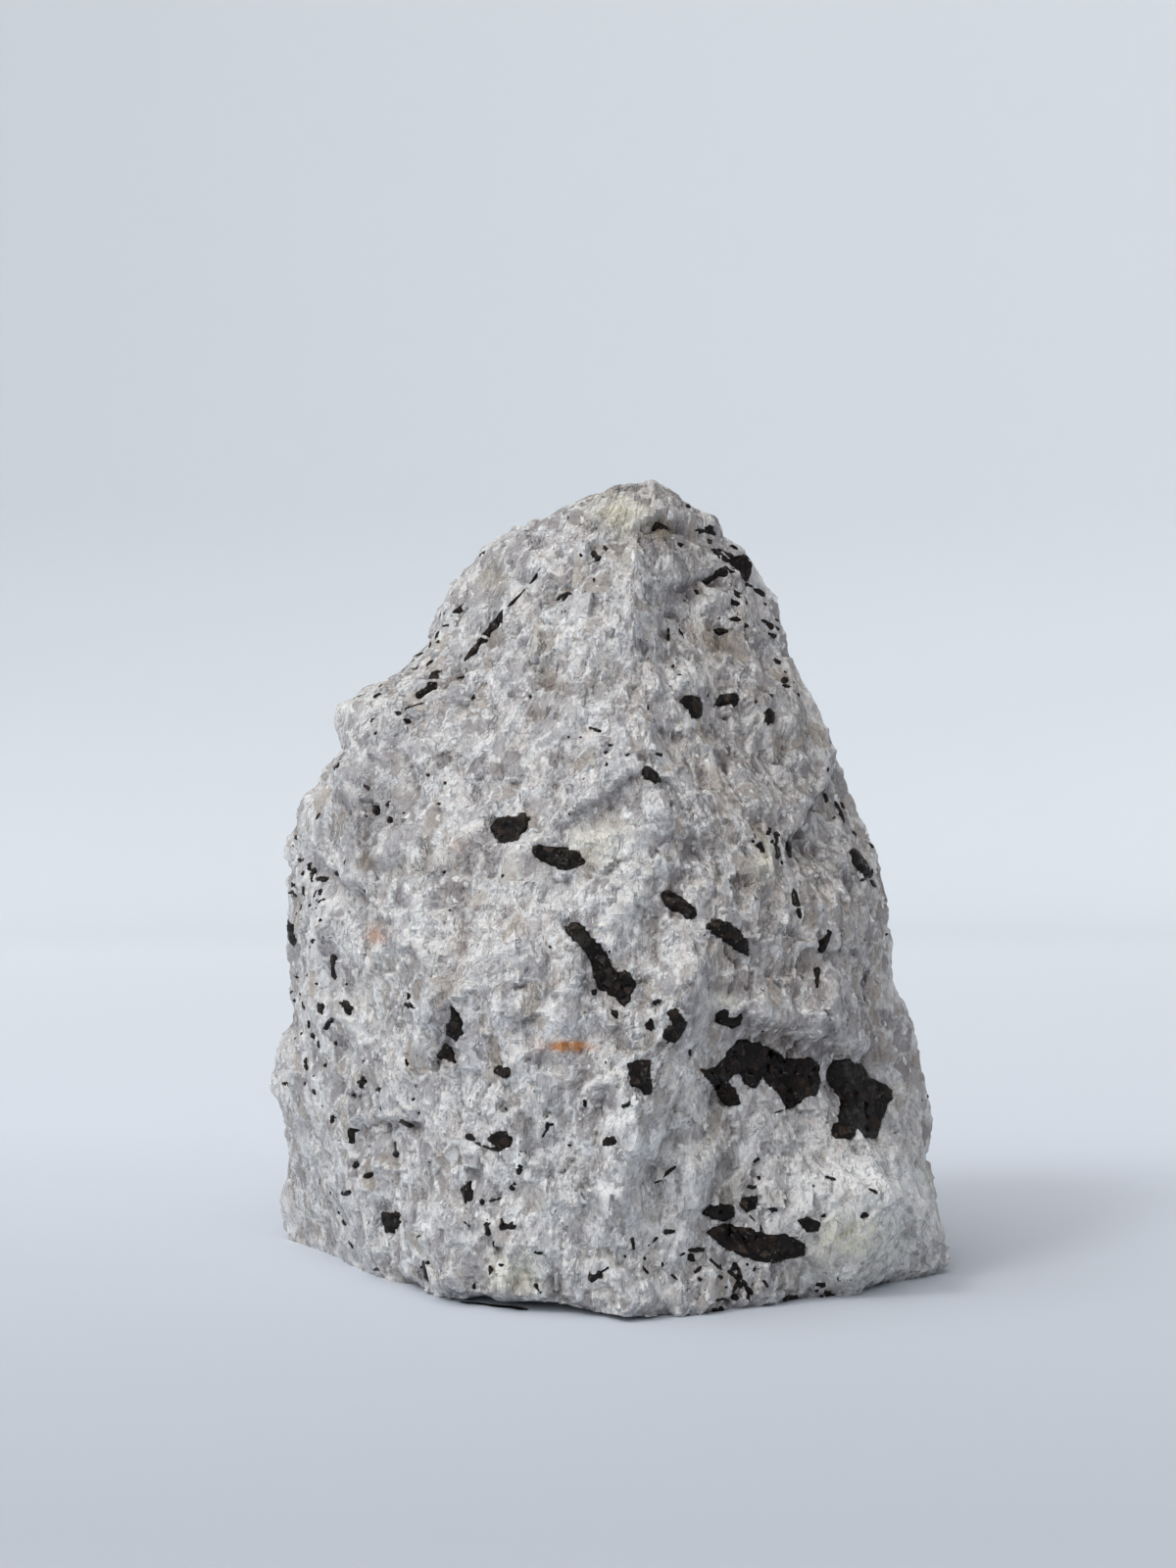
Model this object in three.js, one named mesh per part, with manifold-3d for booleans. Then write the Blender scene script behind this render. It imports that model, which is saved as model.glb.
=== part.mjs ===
// Tourmalinated quartz: one hand-sized broken lump of milky quartz, with black tourmaline crystals
// grown in it. Millimetres, +Z up. The lump stands on its flat broken base at z = 0, its broad ridged
// side faces -Y, and the origin is the middle of the base as the front shows it.
import * as THREE from 'three';
import { mergeVertices } from 'three/addons/utils/BufferGeometryUtils.js';
import Module from 'manifold-3d';

// Driving dimensions.
const CAP_START = 96;                      // height where the wall ends and the crown closes
const PEAK = [3.6, 8.5, 98.1];             // the highest point
const FIRST_ROW = 2.5;                     // height of the first corner above the base
const WALL_ROWS = 30;                      // steps from there to CAP_START, about 3.1 mm each
const CROWN_RINGS = [0.66, 0.33];          // shrinking rings that close the crown
const CRYSTAL_DEPTH = 2.4;                 // how far a tourmaline reaches into the quartz
const CRYSTAL_PROUD = 0.35;                // how far its broken end stands out of it
const GAP = 0.3;                           // room between a crystal and its pocket
const POCKET_REACH = 3.0;                  // how far a pocket's cutter passes the surface
const CORNERS = 12;                        // named corners round each cross-section
const [LEFT_CORNER, RIGHT_CORNER] = [0, 7];
const FACETS = [6, 6, 4, 4, 4, 5, 5, 5, 6, 7, 6, 4];   // steps between one corner and the next

// The front is read on a grid: a viewpoint 290 mm before the lump, and 0.1208 mm to a step on the
// upright plane through the origin. Step (600, 800) lies straight ahead of the viewpoint.
const EYE = new THREE.Vector3(-2.7, -290, 60.3);
const GRID_STEP = 290 / 2400;
const AHEAD = { column: 600, row: 800 };

// How the stone is broken, in mm: scoops of two sizes on a grid that wanders by up to WANDER.reach.
const LARGE_SCOOPS = { size: 19, seed: 3, rise: 2.2, level: 0.3 };
const SMALL_SCOOPS = { size: 8.5, seed: 15, otherSeed: 25, rise: 1.7, level: -0.05 };
const WANDER = { size: 8, seed: 11, reach: 2.4, tall: 0.72 };
const TILT_SHARE = 0.55;                   // how strongly a scoop leans
const LEVEL_SHARE = 0.35;                  // how unequal the scoops' depths are
const EDGE_DAMPING = 0.85;                 // share of the scoops left out where the outline is given
const BACK_GAIN = 0.6;                     // how much bolder the back is broken
const LIP_WAVES = [{ size: 7, seed: 77, reach: 1.3 }, { size: 3, seed: 78, reach: 0.6 }];
const LIP_SHARPNESS = 0.16;                // share of a ledge's fade that its drop takes
const BASE_FADE = 3;                       // height over which the stone gains its upward relief

// A smooth egg inside the stone gives the direction in which relief moves the surface.
const EGG = { halfWidth: 42, halfDepth: 28, halfHeight: 95, z: 22, y: 1, leanBack: 7.5 };

const QUARTZ = new THREE.MeshStandardMaterial({ color: 0xd3d0d4, roughness: 0.62, metalness: 0 });
const TOURMALINE = new THREE.MeshStandardMaterial({ color: 0x171213, roughness: 0.3, metalness: 0 });

// Cross-sections of the lump: its height, then twelve corners [x, y] going round from the left:
// left, left front, front left, beside the ridge, ridge, right of the ridge, right front, right,
// back right, back, back left, left back.
const SECTIONS = [
  { z: 0, at: [[-40.5, 20], [-30, 1], [-19.5, -16], [-9.5, -20.5], [1, -26.5], [14, -19.5],
    [28, -11.5], [40, -1], [35, 15], [14, 24], [-12, 26], [-32, 27]] },
  { z: 2.5, at: [[-41.5, 20.5], [-31.5, 0.5], [-20.5, -18], [-10.5, -23.5], [1, -28], [14.5, -20.5],
    [29, -13.5], [41.5, 0], [36, 17], [14, 26.5], [-13, 28], [-34, 28.5]] },
  { z: 12, at: [[-42.5, 18], [-33, -1], [-21, -17], [-10.5, -24], [1, -27.5], [15, -20.5],
    [30, -16], [39.5, 0], [36, 17], [15, 27], [-14, 28], [-35, 27]] },
  { z: 24, at: [[-43.5, 15], [-35, 0], [-22.5, -15.5], [-10, -23.5], [3.5, -26.5], [15.5, -18.5],
    [29, -11], [39.3, 1], [36, 16], [16, 26], [-13, 27], [-34, 26]] },
  { z: 34, at: [[-41.6, 13], [-35, 0.5], [-25.5, -12.5], [-10, -22], [7.5, -24], [18, -19.5],
    [29, -11.5], [36.3, 2], [33, 14], [15, 24.5], [-12, 26], [-32, 24]] },
  { z: 48, at: [[-41.6, 11], [-36, 1], [-28, -8], [-11, -17], [8.5, -20], [18, -15],
    [27.5, -7], [34.5, 3.5], [30, 13], [13, 22.5], [-11, 25], [-31, 22]] },
  { z: 62, at: [[-36.1, 9], [-34, 2], [-29, -2.5], [-12, -11], [4.8, -16], [13, -10],
    [21.5, -3], [29, 5], [25, 13], [11, 21], [-10, 23.5], [-28, 19]] },
  { z: 74, at: [[-27, 9], [-25, 4], [-20, 0], [-9, -5.5], [3, -10.5], [10.5, -5],
    [18, 1], [24.5, 7], [20, 13.5], [8, 20], [-8, 21.5], [-22, 17]] },
  { z: 84, at: [[-20.8, 9.5], [-18.5, 5.5], [-13, 2.5], [-6, -1.5], [2.4, -5.5], [8.5, -1],
    [14.5, 3.5], [20.8, 8.5], [16, 14], [6, 18.5], [-7, 19.5], [-17, 16]] },
  { z: 92, at: [[-12.5, 9.5], [-11, 6.5], [-8, 4], [-2, 1.5], [3.6, -0.5], [7, 1.5],
    [10.5, 4.5], [14.2, 8], [11, 13], [5, 16], [-4, 16.5], [-10, 14]] },
  { z: 96, at: [[-3.6, 9], [-3, 7.2], [-1.5, 5.8], [0.5, 4.7], [3.5, 4.0], [6.0, 4.6],
    [8.3, 6.0], [9.8, 8.5], [8.3, 11.5], [4.5, 13], [0, 13], [-2.6, 11.5]] },
];

// The left and right edges as the front shows them: [height, x].
const LEFT_EDGE = [[0, -41.2], [5, -41.6], [14, -42.7], [20, -44.0], [24, -43.7], [30, -42.4],
  [34, -41.6], [48, -41.6], [51, -40.6], [55, -39.5], [58, -38.6], [60, -36.6], [62, -36.1],
  [64.5, -33.8], [67, -34.4], [70, -34.1], [73, -30.4], [74.5, -26.2], [78, -23.4], [80, -23.2],
  [82, -22.9], [86, -20.4], [89, -17.6], [91, -15.2], [93, -12.0], [94.5, -7.6], [96, -4.2]];
const RIGHT_EDGE = [[0, 40.2], [1.3, 42.2], [6, 41.3], [14, 39.3], [22, 39.4], [30, 37.8],
  [36, 35.3], [42, 34.9], [45, 35.4], [50, 34.2], [54, 32.1], [60, 29.9], [65, 27.6], [70, 26.0],
  [75, 24.3], [76.8, 22.6], [80, 21.7], [84, 20.9], [88, 18.6], [90, 16.3], [91.5, 14.2],
  [94, 13.6], [95.3, 10.8], [96, 9.8]];

// Lumps and hollows: from which side they are seen (degrees round from the front, anticlockwise),
// the grid step of the middle, half length and half width in mm, turn in degrees, rise in mm.
const SWELLS = [
  { name: 'lower_right_block', from: 0, at: [885, 1235], half: [9.7, 7.5], turn: -10, rise: 1.9 },
  { name: 'flute_right_of_ridge', from: 0, at: [668, 1222], half: [13.3, 3.1], turn: 76, rise: -1.9 },
  { name: 'flute_left_of_ridge', from: 0, at: [603, 1235], half: [10.3, 2.4], turn: 82, rise: -1.1 },
  { name: 'spur', from: 0, at: [725, 1190], half: [9.1, 2.9], turn: 62, rise: 1.1 },
  { name: 'spur_left', from: 0, at: [634, 1160], half: [10.9, 2.4], turn: 78, rise: 0.9 },
  { name: 'right_face_hollow', from: 0, at: [712, 862], half: [5.8, 2.7], turn: 5, rise: -1.2 },
  { name: 'right_face_rib', from: 0, at: [705, 690], half: [3.1, 3.6], turn: 90, rise: 1.0 },
  { name: 'left_belly', from: 0, at: [350, 1075], half: [7.3, 7.3], turn: 0, rise: 0.9 },
  { name: 'middle_belly', from: 0, at: [520, 960], half: [10.9, 7.3], turn: 40, rise: 0.9 },
  { name: 'spindle_seat', from: 0, at: [770, 1270], half: [7.3, 3.1], turn: -8, rise: -0.9 },
  { name: 'left_shoulder', from: 0, at: [375, 730], half: [4.8, 3.6], turn: 20, rise: 0.8 },
  { name: 'back_rib', from: 180, at: [560, 930], half: [26, 6.5], turn: 68, rise: 3.0 },
  { name: 'back_hollow', from: 180, at: [760, 1080], half: [15, 9], turn: 25, rise: -2.8 },
  { name: 'back_foot', from: 180, at: [480, 1240], half: [13, 7], turn: -12, rise: 2.2 },
  { name: 'back_crown', from: 180, at: [610, 660], half: [9, 6], turn: 30, rise: 1.6 },
  { name: 'right_side_hollow', from: 90, at: [735, 1000], half: [7, 13], turn: 15, rise: -1.8 },
  { name: 'left_side_rib', from: 270, at: [610, 1020], half: [17, 4], turn: 75, rise: 1.6 },
];

// Ledges: the stone juts out along a lip and drops back below it. at is the middle of the lip,
// half is its half length, fade is how far down the drop takes to come out again, in mm.
const LEDGES = [
  { name: 'left_shelf', from: 0, at: [375, 1143], half: 6.6, fade: 5.8, turn: 2, depth: 1.5 },
  { name: 'great_overhang', from: 0, at: [834, 1052], half: 13, fade: 12, turn: -12, depth: 2.0 },
  { name: 'middle_overhang', from: 0, at: [612, 812], half: 5.8, fade: 5.6, turn: 30, depth: 1.2 },
  { name: 'crown_crevice', from: 0, at: [722, 574], half: 4.6, fade: 3.6, turn: 38, depth: 1.8 },
  { name: 'crown_brow', from: 0, at: [684, 532], half: 4.1, fade: 4.1, turn: 0, depth: 1.4 },
  { name: 'streak_step', from: 0, at: [520, 655], half: 12, fade: 4.1, turn: 215, depth: 1.3 },
  { name: 'left_scar', from: 0, at: [470, 860], half: 7.3, fade: 6, turn: 60, depth: 1.0 },
  { name: 'right_scar', from: 0, at: [850, 870], half: 7.3, fade: 6, turn: -50, depth: 1.0 },
  { name: 'back_shelf', from: 180, at: [690, 860], half: 17, fade: 13, turn: -24, depth: 3.2 },
  { name: 'back_step', from: 180, at: [500, 1130], half: 13, fade: 9, turn: 18, depth: 2.4 },
  { name: 'right_side_step', from: 90, at: [580, 830], half: 10, fade: 8, turn: 35, depth: 2.0 },
  { name: 'left_side_step', from: 270, at: [640, 900], half: 11, fade: 8, turn: -30, depth: 2.0 },
];

// The larger tourmalines. Each outline is where the crystal meets the broken surface, in grid steps
// seen from its side of the lump. The great one has a smaller crystal grown on to its lower left.
const CRYSTALS = [
  { name: 'tourmaline_great', from: 0, outline: [
    [740, 1082], [745, 1072], [754, 1061], [776, 1066], [788, 1072], [800, 1080], [812, 1082],
    [826, 1080], [835, 1088], [840, 1099], [836, 1107], [832, 1116], [820, 1119], [806, 1130],
    [796, 1114], [786, 1108], [778, 1098], [770, 1110], [760, 1106], [757, 1093], [747, 1097],
    [743, 1106], [751, 1114], [754, 1126], [744, 1127], [736, 1122], [731, 1110], [724, 1101],
    [716, 1092], [726, 1092]] },
  { name: 'tourmaline_right_block', from: 0, outline: [
    [851, 1099], [854, 1090], [858, 1083], [867, 1082], [878, 1086], [886, 1101], [897, 1106],
    [909, 1113], [911, 1121], [904, 1128], [896, 1150], [893, 1160], [884, 1160], [875, 1150],
    [869, 1160], [854, 1160], [850, 1152], [858, 1146], [861, 1120], [855, 1108]] },
  { name: 'tourmaline_spindle', from: 0, outline: [
    [724, 1257], [736, 1250], [756, 1253], [770, 1256], [784, 1261], [802, 1261], [814, 1266],
    [821, 1273], [820, 1281], [802, 1284], [792, 1288], [776, 1286], [760, 1282], [745, 1276],
    [734, 1268]] },
  { name: 'tourmaline_club', from: 0, outline: [
    [578, 950], [585, 942], [592, 944], [600, 953], [612, 967], [620, 978], [626, 990],
    [632, 996], [638, 991], [645, 997], [648, 1006], [641, 1021], [637, 1027], [631, 1018],
    [612, 1008], [607, 994], [602, 977], [594, 966]] },
  { name: 'tourmaline_stub', from: 0, outline: [
    [502, 843], [506, 837], [514, 834], [526, 834], [533, 829], [539, 836], [536, 846],
    [527, 856], [514, 860], [506, 856]] },
  { name: 'tourmaline_lens', from: 0, outline: [
    [544, 869], [550, 863], [562, 866], [574, 866], [587, 869], [596, 880], [588, 883],
    [578, 887], [568, 884], [551, 876]] },
  { name: 'tourmaline_upper_bar', from: 0, outline: [
    [674, 912], [681, 910], [690, 914], [709, 928], [711, 934], [704, 937], [692, 930],
    [680, 923]] },
  { name: 'tourmaline_lower_bar', from: 0, outline: [
    [720, 946], [727, 940], [738, 940], [748, 945], [757, 953], [762, 962], [763, 975],
    [750, 967], [736, 957]] },
  { name: 'tourmaline_small_block', from: 0, outline: [
    [641, 1086], [646, 1083], [663, 1083], [664, 1096], [665, 1116], [658, 1117], [655, 1110],
    [645, 1109]] },
  { name: 'tourmaline_hook', from: 0, outline: [
    [682, 1033], [689, 1030], [700, 1044], [698, 1051], [690, 1062], [682, 1064], [677, 1059],
    [679, 1052], [688, 1046]] },
  { name: 'tourmaline_curl', from: 0, outline: [
    [731, 1036], [738, 1030], [744, 1033], [743, 1038], [749, 1040], [756, 1036], [755, 1044],
    [747, 1048], [734, 1043]] },
  { name: 'tourmaline_cap', from: 0, outline: [
    [719, 1238], [727, 1231], [748, 1231], [748, 1240], [740, 1246], [728, 1243]] },
  { name: 'tourmaline_knob', from: 0, outline: [
    [754, 1228], [760, 1223], [772, 1222], [771, 1233], [762, 1236]] },
  { name: 'tourmaline_thorn', from: 0, outline: [
    [814, 1245], [822, 1243], [836, 1248], [834, 1256], [824, 1257]] },
  { name: 'tourmaline_face_left', from: 0, outline: [
    [695, 716], [700, 710], [713, 712], [717, 724], [715, 731], [706, 731], [701, 722]] },
  { name: 'tourmaline_face_right', from: 0, outline: [
    [731, 719], [735, 709], [750, 709], [753, 715], [750, 720], [744, 718]] },
  { name: 'tourmaline_slip', from: 0, outline: [
    [781, 730], [785, 724], [789, 728], [789, 736], [785, 740], [781, 737]] },
  { name: 'tourmaline_shard', from: 0, outline: [
    [656, 786], [660, 782], [668, 787], [674, 796], [669, 798], [659, 793]] },
  { name: 'tourmaline_edge_bar', from: 0, outline: [
    [866, 868], [873, 867], [881, 877], [890, 893], [885, 896], [874, 881]] },
  { name: 'tourmaline_streak', from: 0, outline: [
    [514, 622], [512, 634], [501, 647], [492, 657], [475, 675], [478, 665], [492, 647],
    [503, 634]] },
  { name: 'tourmaline_shoulder', from: 0, outline: [
    [440, 686], [447, 684], [446, 699], [437, 707], [425, 712], [424, 707], [436, 699]] },
  { name: 'tourmaline_crown', from: 0, outline: [
    [744, 572], [752, 568], [760, 569], [765, 575], [766, 583], [757, 582], [747, 578]] },
  { name: 'tourmaline_flame', from: 0, outline: [
    [460, 1027], [466, 1034], [472, 1045], [471, 1056], [465, 1062], [457, 1055], [457, 1047],
    [461, 1044]] },
  { name: 'tourmaline_flame_foot', from: 0, outline: [
    [453, 1066], [459, 1069], [464, 1084], [455, 1079], [446, 1079]] },
  { name: 'tourmaline_seed', from: 0, outline: [
    [504, 1093], [510, 1088], [518, 1090], [520, 1098], [513, 1100]] },
  { name: 'tourmaline_belt_block', from: 0, outline: [
    [498, 1163], [503, 1157], [514, 1156], [522, 1161], [521, 1169], [510, 1172]] },
  { name: 'tourmaline_low_block', from: 0, outline: [
    [390, 1238], [397, 1240], [404, 1238], [406, 1249], [402, 1257], [394, 1257]] },
  { name: 'tourmaline_wedge', from: 0, outline: [
    [470, 1214], [480, 1205], [482, 1224], [475, 1226]] },
  { name: 'tourmaline_back_great', from: 180, outline: [
    [604, 968], [616, 955], [640, 957], [662, 969], [684, 975], [700, 990], [692, 1006],
    [668, 1010], [648, 1001], [634, 1008], [615, 996]] },
  { name: 'tourmaline_back_bar', from: 180, outline: [
    [520, 790], [530, 784], [553, 806], [571, 832], [563, 840], [545, 826]] },
  { name: 'tourmaline_back_slab', from: 180, outline: [
    [742, 1196], [760, 1184], [779, 1190], [783, 1212], [768, 1226], [748, 1219]] },
  { name: 'tourmaline_back_shard', from: 180, outline: [
    [640, 700], [650, 695], [664, 712], [668, 728], [656, 726]] },
  { name: 'tourmaline_back_foot', from: 180, outline: [
    [470, 1150], [492, 1144], [518, 1152], [520, 1162], [496, 1166], [475, 1161]] },
  { name: 'tourmaline_right_side_bar', from: 90, outline: [
    [700, 1080], [712, 1074], [730, 1098], [740, 1124], [730, 1130], [714, 1108]] },
  { name: 'tourmaline_right_side_block', from: 90, outline: [
    [705, 935], [718, 928], [732, 938], [730, 956], [714, 960]] },
  { name: 'tourmaline_left_side_block', from: 270, outline: [
    [446, 1100], [460, 1090], [478, 1096], [480, 1116], [462, 1124], [448, 1116]] },
  { name: 'tourmaline_left_side_bar', from: 270, outline: [
    [486, 960], [498, 956], [522, 972], [540, 992], [531, 999], [506, 980]] },
];

// Small helpers.
const clamp01 = (x) => Math.min(Math.max(x, 0), 1);

function smoothStep(low, high, x) {
  const t = clamp01((x - low) / (high - low));
  return t * t * (3 - 2 * t);
}

// The value at height z on the straight lines that join [height, value] pairs.
function between(pairs, z) {
  const next = pairs.findIndex((pair) => pair[0] > z);
  if (next < 0) return pairs[pairs.length - 1][1];
  const [[z0, from], [z1, to]] = [pairs[Math.max(next - 1, 0)], pairs[next]];
  return from + (to - from) * clamp01((z - z0) / (z1 - z0 || 1));
}

// A curve through key values that never overshoots them: cubic pieces, with the harmonic mean of the
// neighbouring slopes at each key, and none where the slopes disagree.
function smoothThrough(keys, values, z) {
  const slopes = [];
  for (let k = 0; k < keys.length - 1; k += 1) {
    slopes.push((values[k + 1] - values[k]) / (keys[k + 1] - keys[k]));
  }
  const slopeAt = (k) => {
    if (k === 0) return slopes[0];
    if (k === keys.length - 1) return slopes[k - 1];
    const [before, after] = [slopes[k - 1], slopes[k]];
    return before * after > 0 ? (2 * before * after) / (before + after) : 0;
  };
  let i = 0;
  while (i < keys.length - 2 && z > keys[i + 1]) i += 1;
  const h = keys[i + 1] - keys[i];
  const t = (z - keys[i]) / h;
  return (2 * t ** 3 - 3 * t ** 2 + 1) * values[i]
    + (t ** 3 - 2 * t ** 2 + t) * h * slopeAt(i)
    + (-2 * t ** 3 + 3 * t ** 2) * values[i + 1]
    + (t ** 3 - t ** 2) * h * slopeAt(i + 1);
}

// A repeatable number from 0 to 1 for each whole-number cell.
function cellNumber(ix, iy, iz, seed) {
  let h = Math.imul(ix, 73856093) ^ Math.imul(iy, 19349663) ^ Math.imul(iz, 83492791);
  h = (h ^ Math.imul(seed, 2654435761)) >>> 0;
  h = Math.imul(h ^ (h >>> 16), 0x7feb352d) >>> 0;
  h = Math.imul(h ^ (h >>> 15), 0x846ca68b) >>> 0;
  return ((h ^ (h >>> 16)) >>> 0) / 4294967296;
}

// Smooth waviness between -1 and 1: cell numbers blended between the eight corners of a cell.
function waviness(p, size, seed) {
  const cell = p.map((x) => Math.floor(x / size));
  const f = p.map((x, k) => x / size - cell[k]).map((t) => t * t * (3 - 2 * t));
  let sum = 0;
  for (let corner = 0; corner < 8; corner += 1) {
    const d = [corner & 1, (corner >> 1) & 1, (corner >> 2) & 1];
    const share = d.reduce((w, side, k) => w * (side ? f[k] : 1 - f[k]), 1);
    sum += share * cellNumber(cell[0] + d[0], cell[1] + d[1], cell[2] + d[2], seed);
  }
  return sum * 2 - 1;
}

// Conchoidal scoops: the lowest of many tilted paraboloids, one for each cell.
function scoops(p, size, seed) {
  const q = p.map((x) => x / size);
  const base = q.map(Math.floor);
  let lowest = Infinity;
  for (let n = 0; n < 27; n += 1) {
    const step = [n % 3, Math.floor(n / 3) % 3, Math.floor(n / 9)];
    const c = base.map((x, k) => x + step[k] - 1);
    const r = [0, 1, 2, 3, 4, 5].map((k) => cellNumber(c[0], c[1], c[2], seed + k));
    const off = q.map((x, k) => x - (c[k] + 0.1 + 0.8 * r[k]));
    const square = off.reduce((sum, x) => sum + x * x, 0);
    const along = off.reduce((sum, x, k) => sum + x * (r[3 + k] - 0.5) * 2, 0);
    lowest = Math.min(lowest, square + TILT_SHARE * along + LEVEL_SHARE * (r[3] + r[4] - 1));
  }
  return lowest;
}

// The lump before anything is struck off it: height z, and how far round in corners from the left.
const HEIGHTS = SECTIONS.map((section) => section.z);

function corner(k, z) {
  const n = k % CORNERS;
  return [0, 1].map((axis) => smoothThrough(HEIGHTS, SECTIONS.map((s) => s.at[n][axis]), z));
}

function loft(z, around) {
  const k = Math.floor(around);
  const f = around - k;
  const [from, to] = [corner(k, z), corner(k + 1, z)];
  let x = from[0] * (1 - f) + to[0] * f;
  const y = from[1] * (1 - f) + to[1] * f;
  const leftX = corner(LEFT_CORNER, z)[0];
  const rightX = corner(RIGHT_CORNER, z)[0];
  const middle = (leftX + rightX) / 2;
  const towardsLeft = clamp01((middle - x) / (middle - leftX)) ** 3;
  const towardsRight = clamp01((x - middle) / (rightX - middle)) ** 3;
  x += (between(LEFT_EDGE, z) - leftX) * towardsLeft;
  x += (between(RIGHT_EDGE, z) - rightX) * towardsRight;
  return [x, y, z];
}

// Which way the stone's surface moves out: the outward direction of the egg, whose middle leans back
// towards the crown.
function outward(p) {
  const middleY = EGG.y + EGG.leanBack * (p[2] / PEAK[2]) ** 2;
  return new THREE.Vector3(
    p[0] / EGG.halfWidth ** 2,
    (p[1] - middleY) / EGG.halfDepth ** 2,
    (p[2] - EGG.z) / EGG.halfHeight ** 2,
  ).normalize();
}

const turned = (v, degrees) => v.clone().applyAxisAngle(new THREE.Vector3(0, 0, 1),
  THREE.MathUtils.degToRad(degrees));

// Where a point shows on the grid of one side, in mm from the lump's own axis and base.
function onGrid(p, from) {
  const v = turned(new THREE.Vector3(...p), -from);
  const k = -EYE.y / (v.y - EYE.y);
  return [EYE.x + (v.x - EYE.x) * k, EYE.z + (v.z - EYE.z) * k];
}

function gridPoint([column, row]) {
  return [EYE.x + (column - AHEAD.column) * GRID_STEP, EYE.z + (AHEAD.row - row) * GRID_STEP];
}

// Distances of a point from the middle of a swell or ledge, along its length and across it, in mm.
function alongAndAcross(p, feature) {
  const [x, z] = onGrid(p, feature.from);
  const [x0, z0] = gridPoint(feature.at);
  const a = THREE.MathUtils.degToRad(feature.turn);
  return [
    (x - x0) * Math.cos(a) + (z - z0) * Math.sin(a),
    -(x - x0) * Math.sin(a) + (z - z0) * Math.cos(a),
  ];
}

// How far a place of the surface belongs to one side: 0 where it faces away, 1 where it faces it.
const facingSide = (out, from) => smoothStep(0.1, 0.45, -turned(out, -from).y);

function relief(p, out) {
  const wobble = LIP_WAVES.reduce((sum, wave) => sum + wave.reach * waviness(p, wave.size, wave.seed), 0);
  let h = 0;
  for (const swell of SWELLS) {
    const [u, v] = alongAndAcross(p, swell);
    const far = (u / swell.half[0]) ** 2 + ((v + wobble) / swell.half[1]) ** 2;
    h += swell.rise * Math.exp(-1.6 * far) * facingSide(out, swell.from);
  }
  for (const ledge of LEDGES) {
    const [u, v] = alongAndAcross(p, ledge);
    const below = -(v + wobble) / ledge.fade;
    const drop = smoothStep(0, LIP_SHARPNESS, below) * (1 - smoothStep(LIP_SHARPNESS, 1, below));
    const reach = Math.exp(-1.3 * (u / ledge.half) ** 4) * drop;
    h -= ledge.depth * reach * facingSide(out, ledge.from);
  }
  return h;
}

// The broken surface at large. The scoops are fainter on the two edges and the crown, whose outline
// is already given above, and bolder on the back.
function broken(p, out) {
  const at = p.map((x, k) => x + WANDER.reach * waviness(p, WANDER.size, WANDER.seed + k));
  at[2] *= WANDER.tall;
  const onEdge = Math.max(Math.exp(-((out.y / 0.3) ** 2)), smoothStep(0.5, 0.8, out.z));
  const back = 1 + BACK_GAIN * smoothStep(0.1, 0.7, out.y);
  const { size, seed, otherSeed } = SMALL_SCOOPS;
  const deepest = scoops(at, LARGE_SCOOPS.size, LARGE_SCOOPS.seed);
  const large = LARGE_SCOOPS.rise * (deepest - LARGE_SCOOPS.level);
  const difference = scoops(at, size, seed) - scoops(at, size, otherSeed);
  const small = SMALL_SCOOPS.rise * (difference - SMALL_SCOOPS.level);
  return (large + small) * (1 - EDGE_DAMPING * onEdge) * back;
}

// Moves a point of the loft by its relief. The base stays flat.
function struck(p) {
  const out = outward(p);
  const h = relief(p, out) + broken(p, out);
  return new THREE.Vector3(
    p[0] + out.x * h,
    p[1] + out.y * h,
    Math.max(p[2] + out.z * h * smoothStep(0, BASE_FADE, p[2]), 0),
  );
}

// The whole lump as one closed mesh: rings of points from the base to the crown.
function lumpGeometry() {
  const rounds = [];
  FACETS.forEach((steps, k) => {
    for (let i = 0; i < steps; i += 1) rounds.push(k + i / steps);
  });
  const heights = [0];
  for (let row = 0; row <= WALL_ROWS; row += 1) {
    heights.push(FIRST_ROW + ((CAP_START - FIRST_ROW) * row) / WALL_ROWS);
  }
  const rings = heights.map((z) => rounds.map((around) => loft(z, around)));
  const top = rings[rings.length - 1];
  for (const s of CROWN_RINGS) {
    const z = CAP_START + (PEAK[2] - CAP_START) * (1 - s * s);
    rings.push(top.map((p) => [PEAK[0] + (p[0] - PEAK[0]) * s, PEAK[1] + (p[1] - PEAK[1]) * s, z]));
  }
  const n = rounds.length;
  const points = rings.flat().map(struck);
  const base = new THREE.Vector3();
  points.slice(0, n).forEach((p) => base.addScaledVector(p, 1 / n));
  points.push(base, struck(PEAK));
  const [baseAt, peakAt] = [points.length - 2, points.length - 1];
  const faces = [];
  for (let i = 0; i < n; i += 1) {
    const j = (i + 1) % n;
    faces.push(baseAt, j, i);
    for (let ring = 0; ring < rings.length - 1; ring += 1) {
      const [a, b] = [ring * n + i, ring * n + j];
      const [c, d] = [b + n, a + n];
      const swap = (i + ring) % 2 === 0;
      faces.push(...(swap ? [a, b, c, a, c, d] : [a, b, d, b, c, d]));
    }
    faces.push(peakAt - 1 - n + i, peakAt - 1 - n + j, peakAt);
  }
  const geometry = new THREE.BufferGeometry();
  const numbers = points.flatMap((p) => p.toArray());
  geometry.setAttribute('position', new THREE.Float32BufferAttribute(numbers, 3));
  geometry.setIndex(faces);
  return geometry;
}

// Solids for cutting and joining.
const wasm = await Module();
wasm.setup();

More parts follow.
